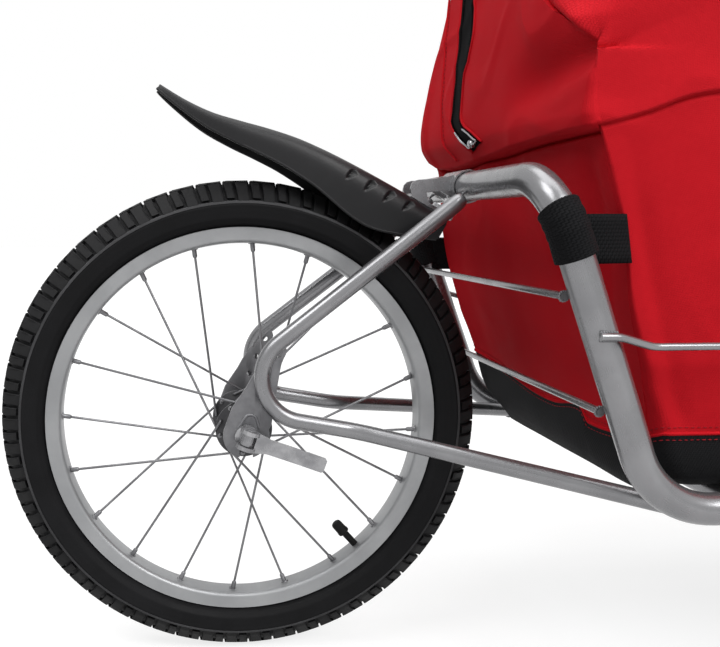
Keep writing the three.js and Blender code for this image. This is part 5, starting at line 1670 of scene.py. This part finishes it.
    def shaped(self, point: Vector, out: Vector, near: float) -> Vector:
        """A point of the plain form moved to where the cloth lies.

        Args:
            point: The point.
            out: The way out there.
            near: Where the rear face's right edge is at that height.

        Returns:
            The point on the cloth.
        """
        above, below = point.z - self.hem_height(point, out), self.top - point.z
        edge = held(above / self.hem_fade) * held(below / self.top_fade)
        return self.tucked(point + out * (self.folds(point, out) * edge - 1.0), near)

    def on_rear(self, y: float, z: float, lift: float = 0.0) -> Vector:
        """A point on the rear face's cloth.

        Args:
            y: Its place across.
            z: Its height.
            lift: How far it stands off the cloth.

        Returns:
            The point.
        """
        near, far = read_smooth(self.near_rear, z), read_smooth(self.far_rear, z)
        out = Vector((-1.0, 0.0, 0.0))
        return self.shaped(Vector((self.rear_x(y, near, far), y, z)), out, near) + out * lift

    def columns(self) -> list[tuple[int, float]]:
        """The columns of points round the bag: the number of a stretch and a share of its length.

        Returns:
            The columns, from the right rear corner round the front.
        """
        corner = [step / (self.corner_steps - 1) for step in range(self.corner_steps)]
        right = [(step / self.side_steps) ** 1.6 for step in range(1, self.side_steps)]
        left = [1.0 - share for share in reversed(right)]
        front = [step / self.front_steps for step in range(1, self.front_steps)]
        rear = [(step + 1) / self.rear_steps for step in range(self.rear_steps)]
        shoulder = [step / self.shoulder_steps for step in range(1, self.shoulder_steps)]
        stretches = [corner, right, corner, front, corner, left, corner, rear, shoulder]
        return [(stretch, share) for stretch, shares in enumerate(stretches) for share in shares]

    def plain(self, stretch: int, share: float, height: float) -> tuple[Vector, Vector]:
        """A point of the plain form.

        Args:
            stretch: The number of its stretch; even ones up to six are corners, seven and eight are the rear face.
            share: Its place along the stretch, from 0 to 1.
            height: Its height.

        Returns:
            The point and the way out there.
        """
        near, far = read_smooth(self.near_rear, height), read_smooth(self.far_rear, height)
        wide, corner = self.across(height), read_smooth(self.corner, height)
        front = 2.0 * self.middle - (near + far) / 2.0
        end, reach = front - corner, wide - corner
        if stretch in (0, 2, 4, 6):
            x, y = ((near + corner, -reach), (end, -reach), (end, reach), (far + corner, reach))[stretch // 2]
            angle = math.radians(180.0 + 45.0 * stretch + 90.0 * share)
            out = Vector((math.cos(angle), math.sin(angle), 0.0))
            return Vector((x, y, height)) + out * corner, out
        if stretch == 1:
            start = near + corner
            return Vector((start + (end - start) * share, -wide, height)), -ACROSS
        if stretch == 3:
            return (Vector((front + 10.0 * share * (1.0 - share), (2.0 * share - 1.0) * reach, height)),
                    Vector((1.0, 0.0, 0.0)))
        if stretch == 5:
            return Vector((end + (far + corner - end) * share, wide, height)), ACROSS.copy()
        fold = -wide + max(read_smooth(self.tuck_across, height), 16.0)
        y = reach + (fold - reach) * share if stretch == 7 else fold + (-reach - fold) * share
        return Vector((self.rear_x(y, near, far), y, height)), Vector((-1.0, 0.0, 0.0))

    def build(self) -> None:
        """Makes the bag's body, base, zip and seams."""
        columns = self.columns()
        hems = [self.hem_height(*self.plain(*column, self.band_top)) for column in columns]
        seams = [self.seam_height(*self.plain(*column, 412.0)) for column in columns]
        rows = []
        for level in range(self.lower_levels + self.upper_levels + 1):
            row = []
            for column, hem, seam in zip(columns, hems, seams):
                if level <= self.lower_levels:
                    height = hem + (seam - hem) * (1.0 - (1.0 - level / self.lower_levels) ** 1.5)
                else:
                    height = seam + (self.top - seam) * ((level - self.lower_levels) / self.upper_levels) ** 1.35
                row.append(self.shaped(*self.plain(*column, height), read_smooth(self.near_rear, height)))
            rows.append(row)
        body = Mould()
        body.grid(rows, around=True)
        self.close_top(body, rows[-1])
        body.fan(rows[0], -UP)
        finish_piece(body.piece("bag_cloth", sharp_degrees=70.0), Body.FRAME,
                     self.finishes.red_cloth, ["bag_body"])
        self.build_base(columns, hems)
        self.build_zip()
        self.build_seams(columns, hems, rows[0])

    def build_base(self, columns: Sequence[tuple[int, float]], hems: Sequence[float]) -> None:
        """Makes the black base.

        Args:
            columns: The columns of points round the bag.
            hems: The height of the red cloth's hem at each.
        """
        rows = []
        for share in (0.0, 0.06, 0.15, 0.3, 0.5, 0.7, 0.9, 1.0):
            shrink = read_smooth(self.base_tuck, share)
            row = []
            for column, hem in zip(columns, hems):
                point, out = self.plain(*column, self.floor + (hem - self.floor) * share)
                flat = Vector((self.middle + (point.x - self.middle) * shrink, point.y * shrink, point.z))
                inner = held((138.0 - abs(point.y)) / 24.0)
                drop = self.sag * (1.0 - share) ** 1.5 * bell(flat.x - self.sag_place, self.sag_width) * inner
                row.append(flat + out * (1.2 * noise.noise(point * 0.02) - 0.6) - UP * drop)
            rows.append(row)
        base = Mould()
        base.grid(rows, around=True)
        base.fan(rows[0], -UP)
        base.fan(rows[-1], UP)
        finish_piece(base.piece("bag_base_cloth", sharp_degrees=60.0), Body.FRAME,
                     self.finishes.dark_cloth, ["bag_base"])

    def close_top(self, mould: Mould, ring: Sequence[Vector]) -> None:
        """Closes the bag's top with cloth that sags a little.

        Args:
            mould: Where to add it.
            ring: The last ring of the sides.
        """
        centre = Vector((self.middle, 0.0, 0.0))
        rows = [list(ring)]
        for step in range(1, self.top_steps):
            share = max(1.0 - (step / (self.top_steps - 1.0)) ** 1.1, 0.02)
            row = []
            for point in ring:
                flat = centre + (Vector((point.x, point.y, 0.0)) - centre) * share
                rise = self.top_crown * (1.0 - share ** 5) + 3.0 * noise.noise(flat * 0.012) * (1.0 - share)
                row.append(Vector((flat.x, flat.y, point.z + min(rise, self.top_limit))))
            rows.append(row)
        mould.grid(rows, around=True)
        mould.fan(rows[-1], UP)

    def zip_rail(self, share: float, lift: float) -> list[Vector]:
        """A line along the zip.

        Args:
            share: Its place across the zip, from 0 at the left edge to 1 at the right.
            lift: How far it stands off the cloth.

        Returns:
            Points from the top to the pull's end.
        """
        left, right = (smooth_line([Vector((0.0, *row[start:start + 2])) for row in self.zip_edges], self.zip_steps)
                       for start in (0, 2))
        spots = [one.lerp(other, share) for one, other in zip(left, right)]
        return [self.on_rear(spot.y, spot.z, lift) for spot in spots]

    def build_zip(self) -> None:
        """Makes the zip's tape, its coil, its lips and its pull."""
        tape = Mould()
        tape.grid([self.zip_rail(share, 0.8) for share in (0.0, 0.1, 0.25, 0.4, 0.55, 0.7, 0.85, 0.94, 1.0)])
        finish_piece(tape.piece("zip_tape"), Body.FRAME, self.finishes.tape)
        lips = Mould()
        lips.tube(self.zip_rail(0.0, 0.6), 1.6, 10)
        lips.tube(self.zip_rail(1.0, 0.4), 1.0, 10)
        finish_piece(lips.piece("zip_lips"), Body.FRAME, self.finishes.red_cloth)
        self.coil.piece("zip_teeth", [self.zip_rail(0.22, 1.2), self.zip_rail(0.9, 1.0)], Slot.BLACK_FABRIC)
        pull = Mould()
        rails = [self.zip_rail(share, 2.6) for share in (0.18, 0.52, 0.86)]
        pull.tube(rails[1][-7:-2], [2.0, 3.2, 3.6, 3.2, 2.0], 10)
        loop = [*rails[0][-20:-3], rails[1][-2], *reversed(rails[2][-20:-3])]
        pull.tube(smooth_line(loop[::2], 2), 0.75, 8)
        finish_piece(pull.piece("zip_pull"), Body.FRAME, self.finishes.bright)

    def build_seams(self, columns: Sequence[tuple[int, float]], hems: Sequence[float],
                    hem: Sequence[Vector]) -> None:
        """Makes the welts and rows of stitches.

        Args:
            columns: The columns of points round the bag.
            hems: The height of the red cloth's hem at each.
            hem: The lowest ring of the red cloth.
        """
        welt = Mould()
        rows = []
        for index, point in enumerate(hem):
            run = (hem[(index + 1) % len(hem)] - hem[index - 1]).normalized()
            out = run.cross(UP).normalized()
            if out.dot(point - Vector((self.middle, 0.0, point.z))) < 0.0:
                out = -out
            rows.append(ring_points(point, out, UP, self.welt_radius, 8))
        welt.grid(rows, around=True, closed=True)
        flap = [self.on_rear(point.y, point.z, 0.4)
                for point in smooth_line([Vector((0.0, y, z)) for y, z in self.flap_line], 8)]
        welt.tube(flap, 1.0, 8)
        finish_piece(welt.piece("bag_welts"), Body.FRAME, self.finishes.red_cloth)
        lines = [[self.on_rear(point.y - self.stitch_gap, point.z, 0.5) for point in flap]]
        for level, lift in ((4.5, 0.4), (-4.0, 1.2)):
            line = []
            for column, height in zip(columns, hems):
                point, out = self.plain(*column, height + level)
                line.append(self.shaped(point, out, read_smooth(self.near_rear, point.z)) + out * lift)
            lines.append([*line, line[0]])
        self.stitching.piece("bag_stitches", lines, Slot.RED_FABRIC)


@dataclass
class LegStraps:
    """The webbing loops that hold the bag to the rear legs."""

    finishes: Finishes
    bed: BedFrame
    width: float = 33.0
    thickness: float = 2.0
    below_bend: float = 12.0
    left_drop: float = 20.0
    tab_start: float = 203.0
    tab_end: float = 239.0
    tab_lean: float = 0.2
    tab_foot: float = 330.0
    tab_width: float = 31.0
    tab_out: float = 164.6
    tab_bend: float = 6.2
    tab_ripple: float = 0.3
    tab_columns: int = 12
    tab_rows: int = 6
    loop_gap: float = 0.35

    def drop(self, side: Side) -> float:
        """How much lower a side's strap sits."""
        return self.left_drop if side is Side.LEFT else 0.0

    def path(self, side: Side) -> list[Vector]:
        """The leg's centre line under the strap.

        Args:
            side: The side of the leg.

        Returns:
            Points along it.
        """
        bed = self.bed
        top = Vector((bed.rear_corner - bed.leg_run, side.value * bed.half_track, bed.hoop_height))
        foot = Vector((bed.rear_corner, side.value * bed.half_track, bed.rail_height))
        middle = Vector((bed.rear_corner - bed.leg_run, 0.0, bed.hoop_height))
        whole = bent_path([middle, top, foot], [bed.upper_bend], 3.0)
        bend_end = bed.half_track - bed.upper_bend + bed.upper_bend * math.pi / 2.0
        end = bend_end + self.below_bend + self.drop(side)
        start = end - self.width
        points, travelled = [], 0.0
        for first, second in zip(whole, whole[1:]):
            run = (second - first).length
            for place in (start, end):
                if travelled <= place < travelled + run:
                    points.append(first.lerp(second, (place - travelled) / run))
            travelled += run
            if start < travelled < end:
                points.append(second)
        return points

    def build(self) -> None:
        """Makes both straps."""
        inner = self.bed.tube_radius + self.loop_gap
        for side in Side:
            mould = Mould()
            path = self.path(side)
            outer_radii = [inner + self.thickness + 0.25 * math.sin(index * 1.7) for index in range(len(path))]
            mould.tube(path, outer_radii, 36)
            finish_piece(mould.piece(f"leg_strap_{side.label}_loop"), Body.FRAME,
                         self.finishes.webbing)
            tab = Mould()
            rows = []
            for column in range(self.tab_columns + 1):
                share = column / self.tab_columns
                out = side.value * (self.tab_out - self.tab_bend * share * share
                                    + self.tab_ripple * math.sin(share * 5.0))
                rows.append([])
                for row in range(self.tab_rows + 1):
                    rise = self.tab_width * row / self.tab_rows
                    z = self.tab_foot + rise - self.drop(side)
                    end = self.tab_end - rise * self.tab_lean
                    rows[-1].append(Vector((self.tab_start + (end - self.tab_start) * share, out, z)))
            tab.grid(rows)
            item = tab.piece(f"leg_strap_{side.label}_tab")
            solid = item.modifiers.new("Thickness", "SOLIDIFY")
            solid.thickness = self.thickness * MM
            solid.offset = 0.0
            finish_piece(item, Body.FRAME, self.finishes.webbing, [f"leg_strap_{side.label}"])


def seen_share(graph: Graph) -> bpy.types.NodeSocket:
    """Tells rays from the camera, a mirror or clear stuff from rays that light the object.

    Args:
        graph: The graph to write in.

    Returns:
        One for the former and nought for the latter.
    """
    rays = graph.add("ShaderNodeLightPath").node.outputs
    return graph.math("MAXIMUM", graph.math("MAXIMUM", rays["Is Camera Ray"], rays["Is Glossy Ray"]),
                      rays["Is Transmission Ray"])


@dataclass
class Studio:
    """The floor, the lamps, the world and the camera."""

    camera_place: Triple = (-53.459, -712.85, 355.86)
    yaw: float = 4.528
    pitch: float = 11.572
    lens: float = 44.334
    shift: tuple[float, float] = (0.15938, 0.11139)
    floor_reach: float = 12.0
    floor_drop: float = 0.0005
    floor_grey: float = 0.3
    aim: Triple = (-0.35, 0.0, 0.3)
    lamps: tuple[tuple[str, Triple, float, float], ...] = (
        ("key", (0.9, -2.2, 2.6), 1.8, 82.0), ("fill", (-2.3, -1.0, 2.9), 1.6, 42.0),
        ("top", (-0.3, 0.2, 2.9), 2.2, 36.0))

    def build(self) -> None:
        """Makes the studio."""
        scene = bpy.context.scene
        data = bpy.data.cameras.new("camera")
        data.sensor_width = 36.0
        data.lens = self.lens
        data.shift_x, data.shift_y = self.shift
        data.clip_start, data.clip_end = 0.01, 100.0
        camera = bpy.data.objects.new("camera", data)
        camera.location = (Vector(self.camera_place) + Vector((inward_shift(), 0.0, 0.0))) * MM
        camera.rotation_euler = (math.radians(90.0 - self.pitch), 0.0, -math.radians(self.yaw))
        scene.collection.objects.link(camera)
        scene.camera = camera
        scene.view_settings.view_transform = "Standard"
        self.build_floor()
        self.build_world()
        self.build_lamps()

    def build_floor(self) -> None:
        """Makes the pale floor."""
        mesh = bpy.data.meshes.new("floor")
        reach = self.floor_reach
        mesh.from_pydata([(x, y, -self.floor_drop) for x, y in ((-reach, -reach), (reach, -reach), (reach, reach),
                                                                (-reach, reach))], [], [(0, 1, 2, 3)])
        floor = bpy.data.objects.new("floor", mesh)
        bpy.context.scene.collection.objects.link(floor)
        graph = Surface("Pale floor")
        for name, value in (("Base Color", (*[self.floor_grey] * 3, 1.0)), ("Roughness", 0.9),
                            ("Specular IOR Level", 0.1)):
            graph.shader.inputs[name].default_value = value
        away = graph.add("ShaderNodeVectorMath", output="Value", props={"operation": "LENGTH"}, i0=graph.place)
        brightness = graph.ramp(away, 0.6, 3.0, 0.8, 1.0)
        glow = graph.add("ShaderNodeEmission", Color=(1.0, 1.0, 1.0, 1.0), Strength=brightness)
        nothing = graph.add("ShaderNodeEmission", Color=(0.0, 0.0, 0.0, 1.0), Strength=0.0)
        extra = graph.add("ShaderNodeMixShader", Fac=seen_share(graph), i1=nothing, i2=glow)
        whole = graph.add("ShaderNodeAddShader", i0=graph.shader.outputs[0], i1=extra)
        output = next(node for node in graph.tree.nodes if node.type == "OUTPUT_MATERIAL")
        graph.tree.links.new(whole, output.inputs["Surface"])
        mesh.materials.append(graph.material)

    def build_world(self) -> None:
        """Makes the world: white where it is seen, a soft gradient where it lights."""
        world = bpy.data.worlds.new("studio")
        world.use_nodes = True
        bpy.context.scene.world = world
        tree = world.node_tree
        graph = Graph(tree)
        tree.nodes.clear()
        way = graph.add("ShaderNodeTexCoord", output="Generated")
        parts = tree.nodes.new("ShaderNodeSeparateXYZ")
        tree.links.new(way, parts.inputs[0])
        level = graph.ramp(parts.outputs[2], -0.2, 0.9, 0.08, 0.42)
        light = graph.add("ShaderNodeBackground", Color=(1.0, 1.0, 1.0, 1.0), Strength=level)
        white = graph.add("ShaderNodeBackground", Color=(1.0, 1.0, 1.0, 1.0), Strength=1.0)
        seen = seen_share(graph)
        both = graph.add("ShaderNodeMixShader", Fac=seen, i1=light, i2=white)
        output = tree.nodes.new("ShaderNodeOutputWorld")
        tree.links.new(both, output.inputs["Surface"])

    def build_lamps(self) -> None:
        """Makes three soft lamps."""
        for name, place, size, power in self.lamps:
            data = bpy.data.lights.new(name, "AREA")
            data.size = size
            data.energy = power
            lamp = bpy.data.objects.new(name, data)
            lamp.location = place
            lamp.rotation_euler = (Vector(self.aim) - Vector(place)).to_track_quat("-Z", "Y").to_euler()
            bpy.context.scene.collection.objects.link(lamp)


@dataclass
class PackedPieces:
    """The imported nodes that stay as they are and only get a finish."""

    finishes: Finishes
    bright: tuple[str, ...] = ("cone_left", "cone_right", "axle", "skewer", "release_nut", "release_housing",
                               "release_pin", "release_lever", "bearing_left", "bearing_right", "mudguard_bolt_1",
                               "mudguard_bolt_2", "saddle_bracket", "pivot_bolt", "pivot_nut", "lock_pin_left",
                               "lock_pin_right")
    tubes: tuple[str, ...] = ("neck", "hitch_fork")
    rubber: tuple[str, ...] = ("inner_tube", "rim_tape")
    plastic: tuple[str, ...] = ("pivot_bush",)
    edge_bevel: float = 0.3

    def build(self, nodes: dict[str, bpy.types.Object]) -> None:
        """Dresses the nodes.

        Args:
            nodes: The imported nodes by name.
        """
        for names, material in ((self.bright, self.finishes.bright), (self.tubes, self.finishes.tube),
                                (self.rubber, self.finishes.rubber), (self.plastic, self.finishes.plastic)):
            for name in names:
                dress_node(nodes[name], material, self.edge_bevel)
                LOG.info("%s dressed", name)


def main() -> None:
    """Loads the frame and builds the trailer and the studio."""
    logging.basicConfig(level=logging.INFO, format="%(name)s: %(message)s")
    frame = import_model()
    finishes = Finishes(Effects())
    along = copies_along_line()
    welds = Beading(along, 1.5, (2.3, 2.3, 2.0), 5, finishes.plate)
    stitching = Beading(along, 4.2, (0.7, 0.7, 2.8), 7, finishes.thread)
    coil = Beading(along, 2.1, (1.9, 1.9, 1.0), 3, finishes.tape)
    bed = BedFrame(finishes, welds)
    makers: list[Callable[[], None]] = [
        bed.build,
        WheelStays(finishes, welds).build,
        Wheel(finishes, copies_round_axle()).build,
        Mudguard(finishes).build,
        Bag(finishes, stitching, coil).build,
        LegStraps(finishes, bed).build,
    ]
    for make in makers:
        make()
    PackedPieces(finishes).build(frame["nodes"])
    Studio().build()


if __name__ == "__main__":
    main()
